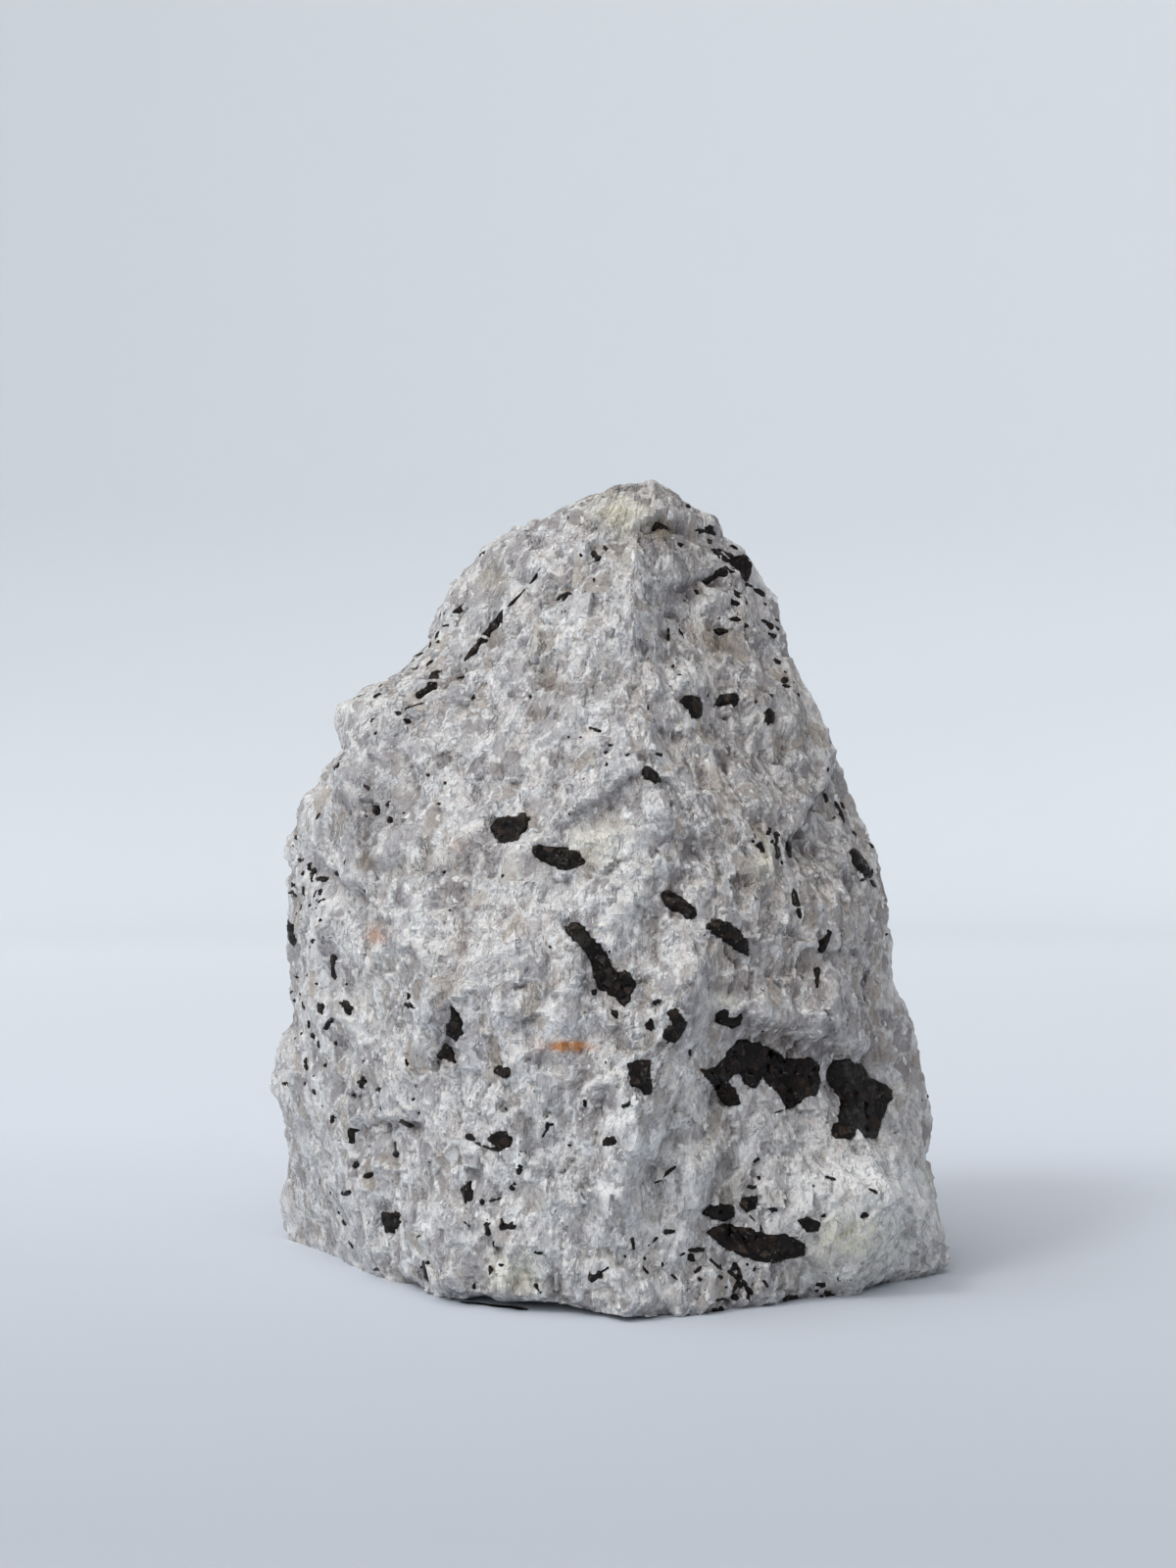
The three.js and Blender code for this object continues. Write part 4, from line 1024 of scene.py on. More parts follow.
print("crystal chips:", len(crystal_pieces), "with", chip_faces, "faces")

# %% [markdown]
# ## Small needles and grains of tourmaline
#
# Hundreds of small crystals lie between the large ones: needles, short bars, and grains like
# peppercorns. Those of the front are named one by one by their places. The other sides get ones of
# the same sizes, gathered in loose swarms as in the front.

# %% Needles and grains of the front
# each needle: its line, and its width in steps
NEEDLES = [
    ([(665, 1024), (676, 1020)], 5), ([(634, 1130), (644, 1125)], 5),
    ([(810, 906), (814, 925), (818, 940)], 6), ([(848, 948), (838, 973)], 6),
    ([(835, 985), (833, 1010)], 5), ([(790, 1136), (805, 1130)], 3), ([(776, 1182), (768, 1186)], 3),
    ([(776, 1200), (770, 1212), (762, 1211)], 4), ([(692, 1188), (668, 1208)], 3),
    ([(838, 1200), (854, 1204)], 4), ([(885, 1212), (896, 1218)], 4), ([(763, 1238), (778, 1255)], 3),
    ([(676, 1258), (690, 1256)], 6), ([(645, 1262), (647, 1276)], 4), ([(660, 1272), (672, 1262)], 3),
    ([(690, 1283), (700, 1278)], 3), ([(702, 1276), (720, 1275)], 5), ([(722, 1283), (737, 1296)], 6),
    ([(708, 1300), (716, 1292)], 3), ([(728, 1327), (742, 1324)], 5), ([(778, 1305), (784, 1314)], 5),
    ([(808, 1284), (818, 1276)], 4), ([(835, 1323), (849, 1320)], 6), ([(800, 1326), (815, 1322)], 6),
    ([(727, 1340), (740, 1335)], 5), ([(745, 1322), (756, 1304), (752, 1290)], 5),
    ([(765, 1330), (760, 1308)], 4), ([(770, 1322), (748, 1300)], 4), ([(742, 1296), (764, 1312)], 5),
    ([(344, 1038), (336, 1042), (330, 1052)], 5), ([(414, 1080), (416, 1090)], 3),
    ([(386, 1108), (388, 1122), (390, 1137)], 7), ([(406, 1142), (420, 1150)], 6),
    ([(444, 1332), (452, 1338)], 3), ([(484, 1166), (500, 1172), (514, 1174)], 3),
    ([(474, 1159), (486, 1162)], 7), ([(530, 1168), (531, 1180)], 3), ([(530, 1188), (529, 1200)], 6),
    ([(527, 1206), (521, 1215)], 6), ([(559, 1138), (558, 1155)], 4), ([(552, 1162), (560, 1150)], 3),
    ([(556, 1148), (566, 1147)], 3), ([(498, 1226), (515, 1222)], 2), ([(470, 1244), (480, 1252)], 2),
    ([(497, 1242), (498, 1262)], 7), ([(511, 1242), (513, 1250)], 3), ([(508, 1252), (528, 1251)], 8),
    ([(500, 1290), (500, 1304)], 4), ([(545, 1310), (553, 1320)], 4), ([(613, 1166), (630, 1164)], 9),
    ([(600, 1306), (615, 1299)], 9), ([(612, 1299), (622, 1292)], 3), ([(604, 562), (612, 572)], 7),
    ([(593, 608), (580, 606), (567, 612)], 5), ([(515, 622), (540, 598), (555, 575)], 2),
    ([(449, 639), (461, 638)], 3), ([(412, 724), (434, 717)], 3), ([(381, 712), (388, 706)], 3),
    ([(600, 742), (615, 747)], 4), ([(370, 800), (382, 810)], 3), ([(383, 817), (383, 831)], 7),
    ([(394, 823), (400, 818)], 6), ([(735, 585), (722, 592), (712, 597)], 4),
    ([(682, 640), (683, 655)], 2), ([(688, 713), (690, 722)], 2), ([(668, 769), (680, 771)], 4),
    ([(766, 848), (773, 860), (780, 870)], 6), ([(793, 848), (794, 876)], 8),
    ([(805, 860), (806, 877)], 5), ([(786, 844), (784, 853)], 4), ([(861, 816), (862, 840)], 3),
    ([(846, 948), (842, 962)], 4), ([(432, 1284), (436, 1308)], 5), ([(428, 1292), (441, 1299)], 3),
    ([(352, 876), (353, 890)], 2), ([(340, 972), (341, 1000)], 6), ([(350, 1018), (356, 1036)], 6),
    ([(360, 1030), (346, 1022)], 4), ([(358, 1150), (359, 1168)], 8),
    ([(404, 1163), (406, 1174), (402, 1181)], 7), ([(302, 1137), (303, 1147)], 4),
    ([(364, 1104), (375, 1105)], 5), ([(370, 1098), (368, 1111)], 4), ([(377, 1241), (377, 1259)], 3),
    ([(692, 640), (698, 652)], 3), ([(655, 1292), (662, 1300)], 3), ([(684, 1300), (692, 1306)], 3),
]
# each grain: its middle, width and height in steps
GRAINS = [
    (622, 971, 4, 4), (719, 954, 3, 3), (778, 1052, 3, 3), (941, 1123, 3, 3), (638, 1282, 3, 3),
    (720, 1316, 4, 4), (628, 1034, 8, 10), (664, 1045, 10, 17), (704, 1074, 4, 8), (816, 1124, 6, 8),
    (828, 1210, 8, 5), (834, 1206, 4, 4), (882, 1240, 9, 7), (790, 1234, 9, 8), (841, 1240, 4, 8),
    (681, 1269, 5, 5), (658, 1284, 4, 4), (676, 1290, 4, 6), (706, 1284, 8, 8), (714, 1305, 8, 6),
    (732, 1338, 12, 5), (750, 1292, 9, 9), (756, 1310, 10, 10), (752, 1325, 9, 8), (838, 1312, 12, 8),
    (834, 1318, 5, 5), (856, 1306, 5, 7), (868, 1307, 4, 7), (852, 1323, 4, 4), (770, 1296, 5, 5),
    (742, 1312, 5, 6), (762, 1290, 4, 5), (736, 1304, 4, 4), (293, 911, 5, 8), (299, 919, 4, 8),
    (293, 925, 4, 6), (314, 888, 7, 13), (299, 1028, 8, 15), (295, 960, 4, 5), (318, 934, 3, 3),
    (326, 926, 3, 3), (330, 918, 3, 3), (322, 942, 3, 3), (309, 1004, 4, 4), (354, 1004, 4, 6),
    (343, 1065, 5, 8), (308, 1087, 3, 3), (414, 1016, 9, 10), (416, 1026, 8, 11), (361, 1118, 6, 4),
    (332, 1140, 6, 5), (421, 1122, 3, 3), (427, 1136, 3, 3), (480, 1123, 4, 4), (516, 1132, 3, 3),
    (330, 1164, 9, 5), (363, 1188, 9, 8), (370, 1184, 6, 7), (373, 1200, 7, 7), (348, 1218, 9, 7),
    (427, 1262, 6, 5), (384, 1295, 9, 5), (492, 1226, 9, 7), (505, 1268, 5, 9), (512, 1291, 7, 4),
    (548, 1278, 9, 7), (483, 1313, 4, 6), (580, 1168, 4, 5), (597, 1126, 6, 9), (606, 1012, 7, 9),
    (561, 966, 3, 3), (618, 1084, 3, 6), (352, 1026, 9, 12), (580, 528, 4, 8), (618, 560, 6, 8),
    (594, 566, 9, 8), (606, 592, 5, 8), (573, 624, 3, 3), (577, 624, 3, 3), (545, 646, 3, 3),
    (405, 727, 6, 5), (414, 735, 6, 4), (380, 735, 5, 6), (383, 748, 7, 12), (483, 713, 7, 11),
    (542, 710, 4, 3), (597, 728, 3, 3), (549, 752, 3, 3), (554, 753, 3, 3), (580, 752, 3, 3),
    (592, 752, 3, 3), (622, 760, 6, 3), (618, 767, 5, 3), (619, 780, 7, 7), (596, 795, 4, 4),
    (374, 833, 4, 4), (389, 839, 8, 9), (397, 837, 5, 9), (412, 840, 3, 3), (412, 829, 3, 3),
    (409, 789, 3, 3), (436, 791, 3, 3), (454, 799, 3, 5), (448, 820, 5, 3), (447, 874, 4, 4),
    (453, 890, 5, 4), (513, 893, 6, 6), (706, 517, 8, 5), (724, 553, 7, 7), (735, 583, 9, 7),
    (711, 605, 4, 8), (733, 631, 4, 4), (737, 643, 5, 6), (694, 689, 8, 3), (687, 680, 3, 5),
    (684, 701, 3, 5), (787, 710, 5, 9), (772, 716, 3, 3), (818, 709, 5, 3), (832, 720, 4, 4),
    (812, 693, 5, 8), (661, 722, 3, 8), (640, 770, 7, 3), (710, 788, 3, 3), (793, 868, 9, 16),
    (785, 848, 5, 8), (843, 815, 5, 9), (846, 785, 8, 7), (852, 832, 7, 7), (861, 824, 4, 9),
    (857, 869, 6, 4), (800, 880, 6, 6), (788, 858, 6, 6),
]
print("front:", len(NEEDLES), "needles,", len(GRAINS), "grains")

# %% [markdown]
# ## A needle
#
# A needle is a strip along its line with a roof-shaped cross-section, whose flanks dive into the
# quartz. It follows the stone under it, is uneven in width and closes to a point at both ends.

# %% Needles
NEEDLE_STATIONS = 9
ROOF_ACROSS = np.array([-1.5, -0.95, -0.45, 0.4, 0.9, 1.5])
ROOF_LIFT = np.array([-0.45, 0.0, 0.2, 0.22, 0.0, -0.45])
NEEDLE_DEPTH, TIP_LIFT, FULL_LIFT_HALF = 0.7, -0.1, 0.25
LEAST_STEPS, LEAST_HALF = 2.2, 0.03
WIDTH_CHANCE, ROOF_CHANCE = 0.5, 0.04


def needle(side, line, width, chance):
    """Points on a strip: stations along the line times the roof profile, pinched at both ends by the
    square root of 1 - t⁶. The same strip again under it closes it."""
    line = kept_on(side, grid_mm(line))
    lengths = np.concatenate([[0], np.cumsum(np.linalg.norm(np.diff(line, axis=0), axis=1))])
    t = np.linspace(0, 1, NEEDLE_STATIONS)
    path = np.stack([np.interp(t * lengths[-1], lengths, line[:, k]) for k in (0, 1)], -1)
    ahead = np.gradient(path, axis=0)
    ahead /= np.linalg.norm(ahead, axis=1, keepdims=True)
    beside = np.stack([-ahead[:, 1], ahead[:, 0]], -1)
    pinch = (1 - np.abs(2 * t - 1) ** 6) ** 0.5
    uneven = 1 + WIDTH_CHANCE * (chance.random(NEEDLE_STATIONS) - 0.5)
    half = np.maximum(0.5 * max(width, LEAST_STEPS) * STEP * pinch * uneven, LEAST_HALF)
    place = path[:, None] + beside[:, None] * (half[:, None] * ROOF_ACROSS)[..., None]
    roof = ROOF_LIFT * np.minimum(1, half[:, None] / FULL_LIFT_HALF)
    lift = roof + ROOF_CHANCE * (chance.random((NEEDLE_STATIONS, len(ROOF_LIFT))) - 0.5)
    lift[[0, -1]] = np.minimum(lift[[0, -1]], TIP_LIFT)
    top, bottom = on_stone(side, place, lift), on_stone(side, place, -NEEDLE_DEPTH)
    every_cell = np.ones((NEEDLE_STATIONS - 1, len(ROOF_LIFT) - 1), bool)
    return closed_chip(top, bottom, every_cell)


print("faces of one needle:", len(needle(FRONT, NEEDLES[0][0], 5, np.random.default_rng(1))[1]))

# %% [markdown]
# ## A grain
#
# A grain is a low dome with uneven corners, laid on the stone and closed below. It has only a few
# dozen faces, because there are hundreds of grains.

# %% Grains
DOME_RINGS = np.array([1.45, 1.0, 0.62, 0.2])
DOME_LIFT = np.array([-0.5, 0.0, 0.13, 0.15])
DOME_CORNERS = 9
CORNER_CHANCE, CORNER_LOW, CORNER_SPAN, DOME_CHANCE = 0.6, 0.5, 0.65, 0.05
GRAIN_LARGER, FULL_DOME, GRAIN_DEPTH = 1.05, 0.9, 0.25


def grain(side, middle, size, turn, chance):
    """Rings of a dome with uneven corners: the ring's share of the corner radius, lifted by its height."""
    around = np.arange(DOME_CORNERS) + CORNER_CHANCE * chance.random(DOME_CORNERS)
    angle = around * 2 * math.pi / DOME_CORNERS
    radius = CORNER_LOW + CORNER_SPAN * chance.random(DOME_CORNERS)
    unit = np.stack([np.cos(angle), np.sin(angle)], -1) * radius[:, None]
    c, s = math.cos(turn), math.sin(turn)
    widths = np.maximum(np.array(size) * GRAIN_LARGER, LEAST_STEPS)
    shape = (unit * widths / 2 * STEP) @ np.array([[c, s], [-s, c]])
    place = kept_on(side, grid_mm(middle)) + DOME_RINGS[:, None, None] * shape
    scale = min(1.0, max(size) * STEP / FULL_DOME)
    rings = len(DOME_RINGS)
    lift = (DOME_LIFT * scale)[:, None] + DOME_CHANCE * scale * (chance.random((rings, DOME_CORNERS)) - 0.5)
    points = on_stone(side, place, lift)
    bottom = points[0].mean(0) - outward(points[0].mean(0)) * GRAIN_DEPTH
    quads, fans = skin_faces(rings, DOME_CORNERS, rings * DOME_CORNERS, rings * DOME_CORNERS + 1)
    return np.concatenate([points.reshape(-1, 3), bottom[None], points[-1].mean(0)[None]]), quads, fans


one_grain = grain(FRONT, GRAINS[0][:2], GRAINS[0][2:], 0.0, np.random.default_rng(1))
print("faces of one grain:", len(one_grain[1]) + len(one_grain[2]))

# %% [markdown]
# ## Many shapes in one piece
#
# Hundreds of loose objects would be slow and hard to handle, so the small shapes of one side are
# gathered into two meshes, one of needles and one of grains. Their faces stay flat, as broken ones are.

# %% The small crystals of the front


class Swarm:
    """Collects many small closed shapes into one mesh: each shape's corners are moved up by the
    number of points before it."""

    def __init__(self):
        self.points, self.quads, self.triangles, self.count = [], [], [], 0

    def add(self, points, quads, triangles=None):
        self.quads.append(quads + self.count)
        if triangles is not None:
            self.triangles.append(triangles + self.count)
        self.points.append(points)
        self.count += len(points)

    def piece(self, name):
        triangles = np.concatenate(self.triangles) if self.triangles else None
        points, quads = np.concatenate(self.points), np.concatenate(self.quads)
        return new_mesh(name, points, quads, triangles, smooth=False)


GRAIN_TURN = 0.5
chance = np.random.default_rng(11)
bars, peppers = Swarm(), Swarm()
for line, width in NEEDLES:
    bars.add(*needle(FRONT, line, width, chance))
needles_front = bars.piece("needles_front")
for column, row, width, tall in GRAINS:
    peppers.add(*grain(FRONT, (column, row), (width, tall), GRAIN_TURN * (chance.random() - 0.5), chance))
grains_front = peppers.piece("grains_front")
print("faces of the front:", {p.name: len(p.data.polygons) for p in (needles_front, grains_front)})

# %% [markdown]
# ## Swarms of the other sides
#
# In such rock the small crystals gather in loose swarms, with a few loners between. The right, back
# and left sides get swarms round places drawn at random where the stone faces that side. Small ones
# are far more common than large ones, so a random number is raised to a power before it sets a size.

# %% Swarms of the other sides
SWARMS, PER_SWARM, LONERS = 9, 9, 34
SWARM_SPREAD = 26
FACES_WELL, ABOVE_BASE, BEHIND_FRONT = 0.75, 3, -0.15
NEEDLE_SHARE = 0.45
# least and further steps, and the power that makes large ones rare
SIZE_LOW, SIZE_MORE, SIZE_POWER = 3, 10, 2.2
REACH_LOW, REACH_MORE, REACH_POWER = 6, 14, 2
BAR_LOW, BAR_SHARE = 2.6, 0.35
TALL_LOW, TALL_MORE = 0.6, 0.8


def open_places(side, count, chance):
    """Places where this side is the one that the stone faces: drawn at random from its points."""
    place, _ = shown_at(stone, side)
    facing = -turned(out_dir, -side)[..., 1]
    good = (facing > FACES_WELL) & (stone[..., 2] > ABOVE_BASE) & (out_dir[..., 1] > BEHIND_FRONT)
    choice = place[good][chance.integers(0, good.sum(), count)]
    return np.stack([(choice[:, 0] - EYE[0]) / STEP + AHEAD[0],
                     AHEAD[1] - (choice[:, 1] - EYE[2]) / STEP], -1)


small_pieces = [needles_front, grains_front]
for side, name in ((RIGHT_SIDE, "right"), (BACK, "back"), (LEFT_SIDE, "left")):
    bars, peppers = Swarm(), Swarm()
    centres = np.repeat(open_places(side, SWARMS, chance), PER_SWARM, 0)
    around_them = centres + chance.normal(0, SWARM_SPREAD, centres.shape)
    for spot in np.concatenate([around_them, open_places(side, LONERS, chance)]):
        size = SIZE_LOW + SIZE_MORE * chance.random() ** SIZE_POWER
        angle = chance.random() * math.pi
        if chance.random() < NEEDLE_SHARE:
            half = (REACH_LOW + REACH_MORE * chance.random() ** REACH_POWER) * 0.5
            reach = half * np.array([math.cos(angle), math.sin(angle)])
            bars.add(*needle(side, [spot - reach, spot + reach], BAR_LOW + size * BAR_SHARE, chance))
        else:
            shape = (size, size * (TALL_LOW + TALL_MORE * chance.random()))
            peppers.add(*grain(side, spot, shape, angle, chance))
    small_pieces += [bars.piece("needles_" + name), peppers.piece("grains_" + name)]
print("small pieces:", {p.name: len(p.data.polygons) for p in small_pieces})

# %% [markdown]
# ## Colours and nodes
#
# Colours are given as the sRGB hex values one would read off a screen, and turned linear once. A
# single helper adds any node, with its settings and whatever feeds its inputs, so each finish below
# reads as a list of what the mineral is made of.

# %% Helpers for the finishes


def linear(code):
    """sRGB hex to linear light: (c/12.92) in the dark part, else ((c + 0.055)/1.055) to the 2.4."""
    parts = [int(code[k:k + 2], 16) / 255 for k in (1, 3, 5)]
    return tuple([c / 12.92 if c <= 0.04045 else ((c + 0.055) / 1.055) ** 2.4 for c in parts] + [1.0])


def per_mm(size):
    """The scale of a pattern with features of that many mm, for coordinates in metres."""
    return 1000.0 / size


def new_finish(name):
    """An empty material, and its tree of nodes."""
    material = bpy.data.materials.new(name)
    material.use_nodes = True
    material.node_tree.nodes.clear()
    return material, material.node_tree


def add_node(tree, kind, inputs, stops=(), **settings):
    """A node of that kind. Each input, by name or number, gets a plain value or a source. A node as
    a source stands for its first output in use. stops are the places and colours of a ramp."""
    node = tree.nodes.new("ShaderNode" + kind)
    for key, value in settings.items():
        setattr(node, key, value)
    for key, value in inputs.items():
        if isinstance(value, bpy.types.Node):
            value = next(output for output in value.outputs if output.enabled)
        if isinstance(value, bpy.types.NodeSocket):
            tree.links.new(value, node.inputs[key])
        else:
            node.inputs[key].default_value = value
    for k, (place, colour) in enumerate(stops):
        element = node.color_ramp.elements[k] if k < 2 else node.color_ramp.elements.new(place)
        element.position, element.color = place, linear(colour)
    return node


# sockets of the node that mixes two colours: how much, the colour under and the colour over
SHARE, UNDER, OVER = 0, 6, 7
# a cell's random colour, less this, is a direction
HALF = (0.5, 0.5, 0.5)


def facets(tree, place, cells):
    """Heights of flat faces that lean their own ways: the offset from the cell's centre times a
    direction made from the cell's random colour."""
    off = add_node(tree, "VectorMath", {0: place, 1: cells.outputs["Position"]}, operation="SUBTRACT")
    lean = add_node(tree, "VectorMath", {0: cells.outputs["Color"], 1: HALF}, operation="SUBTRACT")
    return add_node(tree, "VectorMath", {0: off, 1: lean}, operation="DOT_PRODUCT")


print("milky white in linear light:", [round(c, 3) for c in linear("#e9e7ea")[:3]])

# %% [markdown]
# ## Milky quartz: how the grains lie
#
# Pure quartz is glassy, but here it is full of tiny bubbles and cracks, in grains 1 to 4 mm across.
# Some grains are clear enough to look into and show grey. The others are crushed and frosted, white
# and made of crumbs half a millimetre small. Nearest-point cells give such grains, once the space
# they are cut from has been bent by a noise, so that no border is straight.

# %% Grains of the quartz
# sizes in mm
MIDDLE_GRAIN, CRUMB, BEND, CLOUD, FROST = 1.6, 0.55, 2.8, 9.0, 2.0
BEND_REACH = 2.8 * MM
quartz_finish, tree = new_finish("milky_quartz_broken")
where = add_node(tree, "TexCoord", {}).outputs["Object"]
drawn_out = add_node(tree, "Mapping", {
    "Vector": where, "Scale": (1.0, 1.0, 0.62), "Rotation": (0.0, 0.25, 0.0)})
push = add_node(tree, "TexNoise", {
    "Vector": drawn_out, "Scale": per_mm(BEND), "Detail": 4.0, "Roughness": 0.62})
centred = add_node(tree, "VectorMath", {0: push.outputs["Color"], 1: HALF}, operation="SUBTRACT")
bent = add_node(tree, "VectorMath", {
    0: centred, 1: (BEND_REACH,) * 3, 2: drawn_out}, operation="MULTIPLY_ADD")
middle = add_node(tree, "TexVoronoi", {"Vector": bent, "Scale": per_mm(MIDDLE_GRAIN)})
crumb = add_node(tree, "TexVoronoi", {"Vector": bent, "Scale": per_mm(CRUMB)})
middle_own, crumb_own = [
    add_node(tree, "SeparateColor", {0: cells.outputs["Color"]}).outputs for cells in (middle, crumb)]
cloud = add_node(tree, "TexNoise", {
    "Vector": where, "Scale": per_mm(CLOUD), "Detail": 3.0, "Roughness": 0.6})
frost = add_node(tree, "TexNoise", {
    "Vector": bent, "Scale": per_mm(FROST), "Detail": 5.0, "Roughness": 0.7})
clearness, tone, border, right_painted_shade, hollow_number = [
    add_node(tree, "Attribute", {}, attribute_name=name).outputs["Fac"]
    for name in ("grain_clearness", "grain_tone", "grain_border", "right_painted_shade", "hollow")]
print("cells of", MIDDLE_GRAIN, "and", CRUMB, "mm")

# %% [markdown]
# ## Milky quartz: clear and frosted grains
#
# A grain is clear or frosted by its own number, moved by two noises, so that clear grains gather in
# patches and have frayed borders; the right side's painted shade moves it towards clear as well. The
# clear ones show grey, because one looks into them. The frosted ones are white with a grain of crumbs.

# %% Clear and frosted grains
CLOUD_WEIGHT, FROST_WEIGHT, RIGHT_WEIGHT = 1.4, 0.7, 0.25
CLEAR_FROM, CLEAR_TO = 1.4, 1.48
CRUMBS_IN_FROSTED, FROSTED_IN_CLEAR = 0.35, 0.2
clear_tint = add_node(tree, "ValToRGB", {0: tone}, [
    (0.0, "#c2c0c3"), (0.3, "#a29fa3"), (0.55, "#b5aba0"), (0.75, "#857f83"), (1.0, "#9b979b")])
frosted_tint = add_node(tree, "ValToRGB", {0: middle_own[0]}, [
    (0.0, "#fafafa"), (0.4, "#efedee"), (0.7, "#e6e0da"), (1.0, "#cfccce")])
crumb_tint = add_node(tree, "ValToRGB", {0: crumb_own[0]}, [
    (0.0, "#ffffff"), (0.45, "#e8e6e6"), (1.0, "#aeaaac")])
frosted = add_node(tree, "Mix", {
    SHARE: CRUMBS_IN_FROSTED, UNDER: frosted_tint, OVER: crumb_tint}, data_type="RGBA")
clear_tint = add_node(tree, "Mix", {
    SHARE: FROSTED_IN_CLEAR, UNDER: clear_tint, OVER: frosted}, data_type="RGBA")
leaning = clearness
# the right side's painted shade also tips its grains towards the grey clear ones
for number, weight in ((cloud, CLOUD_WEIGHT), (frost, FROST_WEIGHT), (right_painted_shade, RIGHT_WEIGHT)):
    leaning = add_node(tree, "Math", {0: number, 1: weight, 2: leaning}, operation="MULTIPLY_ADD")
clear_share = add_node(tree, "MapRange", {"Value": leaning, "From Min": CLEAR_FROM, "From Max": CLEAR_TO})
tint = add_node(tree, "Mix", {SHARE: clear_share, UNDER: frosted, OVER: clear_tint}, data_type="RGBA")
print("clear and frosted grains:", len(tree.nodes), "nodes so far")

# %% [markdown]
# ## Milky quartz: borders, hollows and ridges
#
# Where two large grains meet, crushed quartz shows as a white line, and it lies as a thin crust on
# some of the surface too. Hollows get painted shade and ridges a painted highlight on top of the grain
# colours, and the right side of the lump gets painted shade as well.

# %% Borders, crust, hollows and ridges
BORDER_FRAY = -0.8
frayed = add_node(tree, "Math", {0: frost, 1: BORDER_FRAY, 2: border}, operation="MULTIPLY_ADD")
line = add_node(tree, "MapRange", {
    "Value": frayed, "From Min": -0.36, "From Max": -0.24, "To Min": 0.8, "To Max": 0.0})
crust = add_node(tree, "MapRange", {"Value": frost, "From Min": 0.55, "From Max": 0.62, "To Max": 0.7})
# painted shade: the hollows are multiplied darker in the colour
hollow_painted_shade = add_node(tree, "MapRange", {"Value": hollow_number, "From Min": 0.05, "From Max": 0.8})
# painted highlight: the ridges are mixed towards white in the colour
ridge_painted_highlight = add_node(tree, "MapRange", {
    "Value": hollow_number, "From Min": -0.1, "From Max": -0.7, "To Max": 0.5})
# here the hollows and the right side get painted shade, the ridges a painted highlight
for share, colour, blend in ((line, "#f2f3f4", "MIX"), (crust, "#f1f3f5", "MIX"),
                             (hollow_painted_shade, "#b7b0ad", "MULTIPLY"), (ridge_painted_highlight, "#eff1f3", "MIX"),
                             (right_painted_shade, "#efecea", "MULTIPLY")):
    tint = add_node(tree, "Mix", {SHARE: share, UNDER: tint, OVER: linear(colour)},
                    data_type="RGBA", blend_type=blend)
print("borders and hollows:", len(tree.nodes), "nodes so far")

# %% [markdown]
# ## Milky quartz: stains and sparks
#
# Iron has stained a few cracks rusty and some grains brown or yellow-green. A stain is broken up by
# the frost, as water leaves it in the cracks and not on the faces. The near-white patches are painted
# light, broken up the same way. A few crumbs out of a hundred are painted white as glints, where a
# facet would face the light.

# %% Stains and sparks
# the near-white patches are painted light, the others stains and grey grains
STAIN_COLOURS = {"clear_grey": "#7e7b80", "painted_light": "#fbfbfb", "yellow_green": "#e8e3c9",
                 "brown": "#887a68", "rust": "#cf8238"}
MOST_STAIN = 0.92
for name, colour in STAIN_COLOURS.items():
    amount = add_node(tree, "Attribute", {}, attribute_name=name).outputs["Fac"]
    patchy = add_node(tree, "MapRange", {
        "Value": frost, "From Min": 0.38, "From Max": 0.56, "To Min": 0.35, "To Max": 1.3})
    patchy = add_node(tree, "Math", {0: patchy, 1: amount}, operation="MULTIPLY")
    patchy = add_node(tree, "Math", {0: patchy, 1: MOST_STAIN}, operation="MINIMUM")
    tint = add_node(tree, "Mix", {SHARE: patchy, UNDER: tint, OVER: linear(colour)}, data_type="RGBA")
# painted glints: a few crumbs are painted white in the colour
glint = add_node(tree, "MapRange", {
    "Value": crumb_own[2], "From Min": 0.95, "From Max": 0.97, "To Max": 0.75})
tint = add_node(tree, "Mix", {SHARE: glint, UNDER: tint, OVER: linear("#ffffff")}, data_type="RGBA")
print("colours of the quartz:", len(tree.nodes), "nodes so far")

# %% [markdown]
# ## Milky quartz: its gloss
#
# Each middle grain and each crumb ends in a flat face that leans its own way. Most faces are dull. A
# few in each dozen are glassy, and where one of those faces the light it sparks. The frosted grains
# have the rougher crumbs, the clear ones the calmer. The refraction is that of rock crystal.

# %% Faces and gloss of the quartz
QUARTZ_IOR = 1.544
FROST_RISE, MIDDLE_LEAN = 0.5 * MM, 0.9
faces_height = add_node(tree, "Math", {0: frost, 1: FROST_RISE}, operation="MULTIPLY")
crumb_lean = add_node(tree, "MapRange", {
    "Value": clearness, "From Min": 0.5, "From Max": 0.6, "To Min": 1.6, "To Max": 0.7})
for cells, amount in ((middle, MIDDLE_LEAN), (crumb, crumb_lean)):
    face = facets(tree, bent, cells)
    faces_height = add_node(tree, "Math", {0: face, 1: amount, 2: faces_height}, operation="MULTIPLY_ADD")
bump = add_node(tree, "Bump", {"Height": faces_height, "Strength": 0.9, "Distance": 1.2})
dullness = add_node(tree, "MapRange", {
    "Value": crumb_own[1], "From Min": 0.15, "From Max": 0.4, "To Min": 0.12, "To Max": 0.5})
shader = add_node(tree, "BsdfPrincipled", {
    "Base Color": tint, "Normal": bump, "Roughness": dullness,
    "IOR": QUARTZ_IOR, "Specular IOR Level": 0.5})
add_node(tree, "OutputMaterial", {"Surface": shader})
quartz_lump.data.materials.append(quartz_finish)
print("quartz finish:", len(tree.nodes), "nodes")

# %% [markdown]
# ## Black tourmaline
#
# Schorl, the black tourmaline, is a glassy brown-black mineral with fine ribs along its length, and
# it breaks across them like coal. It is nearly opaque, so its colour is a very dark brown and all
# that one sees besides is gloss: dull on the broken ends, glassy on the small faces. Its pale specks
# are partly quartz dust caught in it and partly painted glints.

# %% Finish of the tourmaline
TOURMALINE_IOR = 1.635
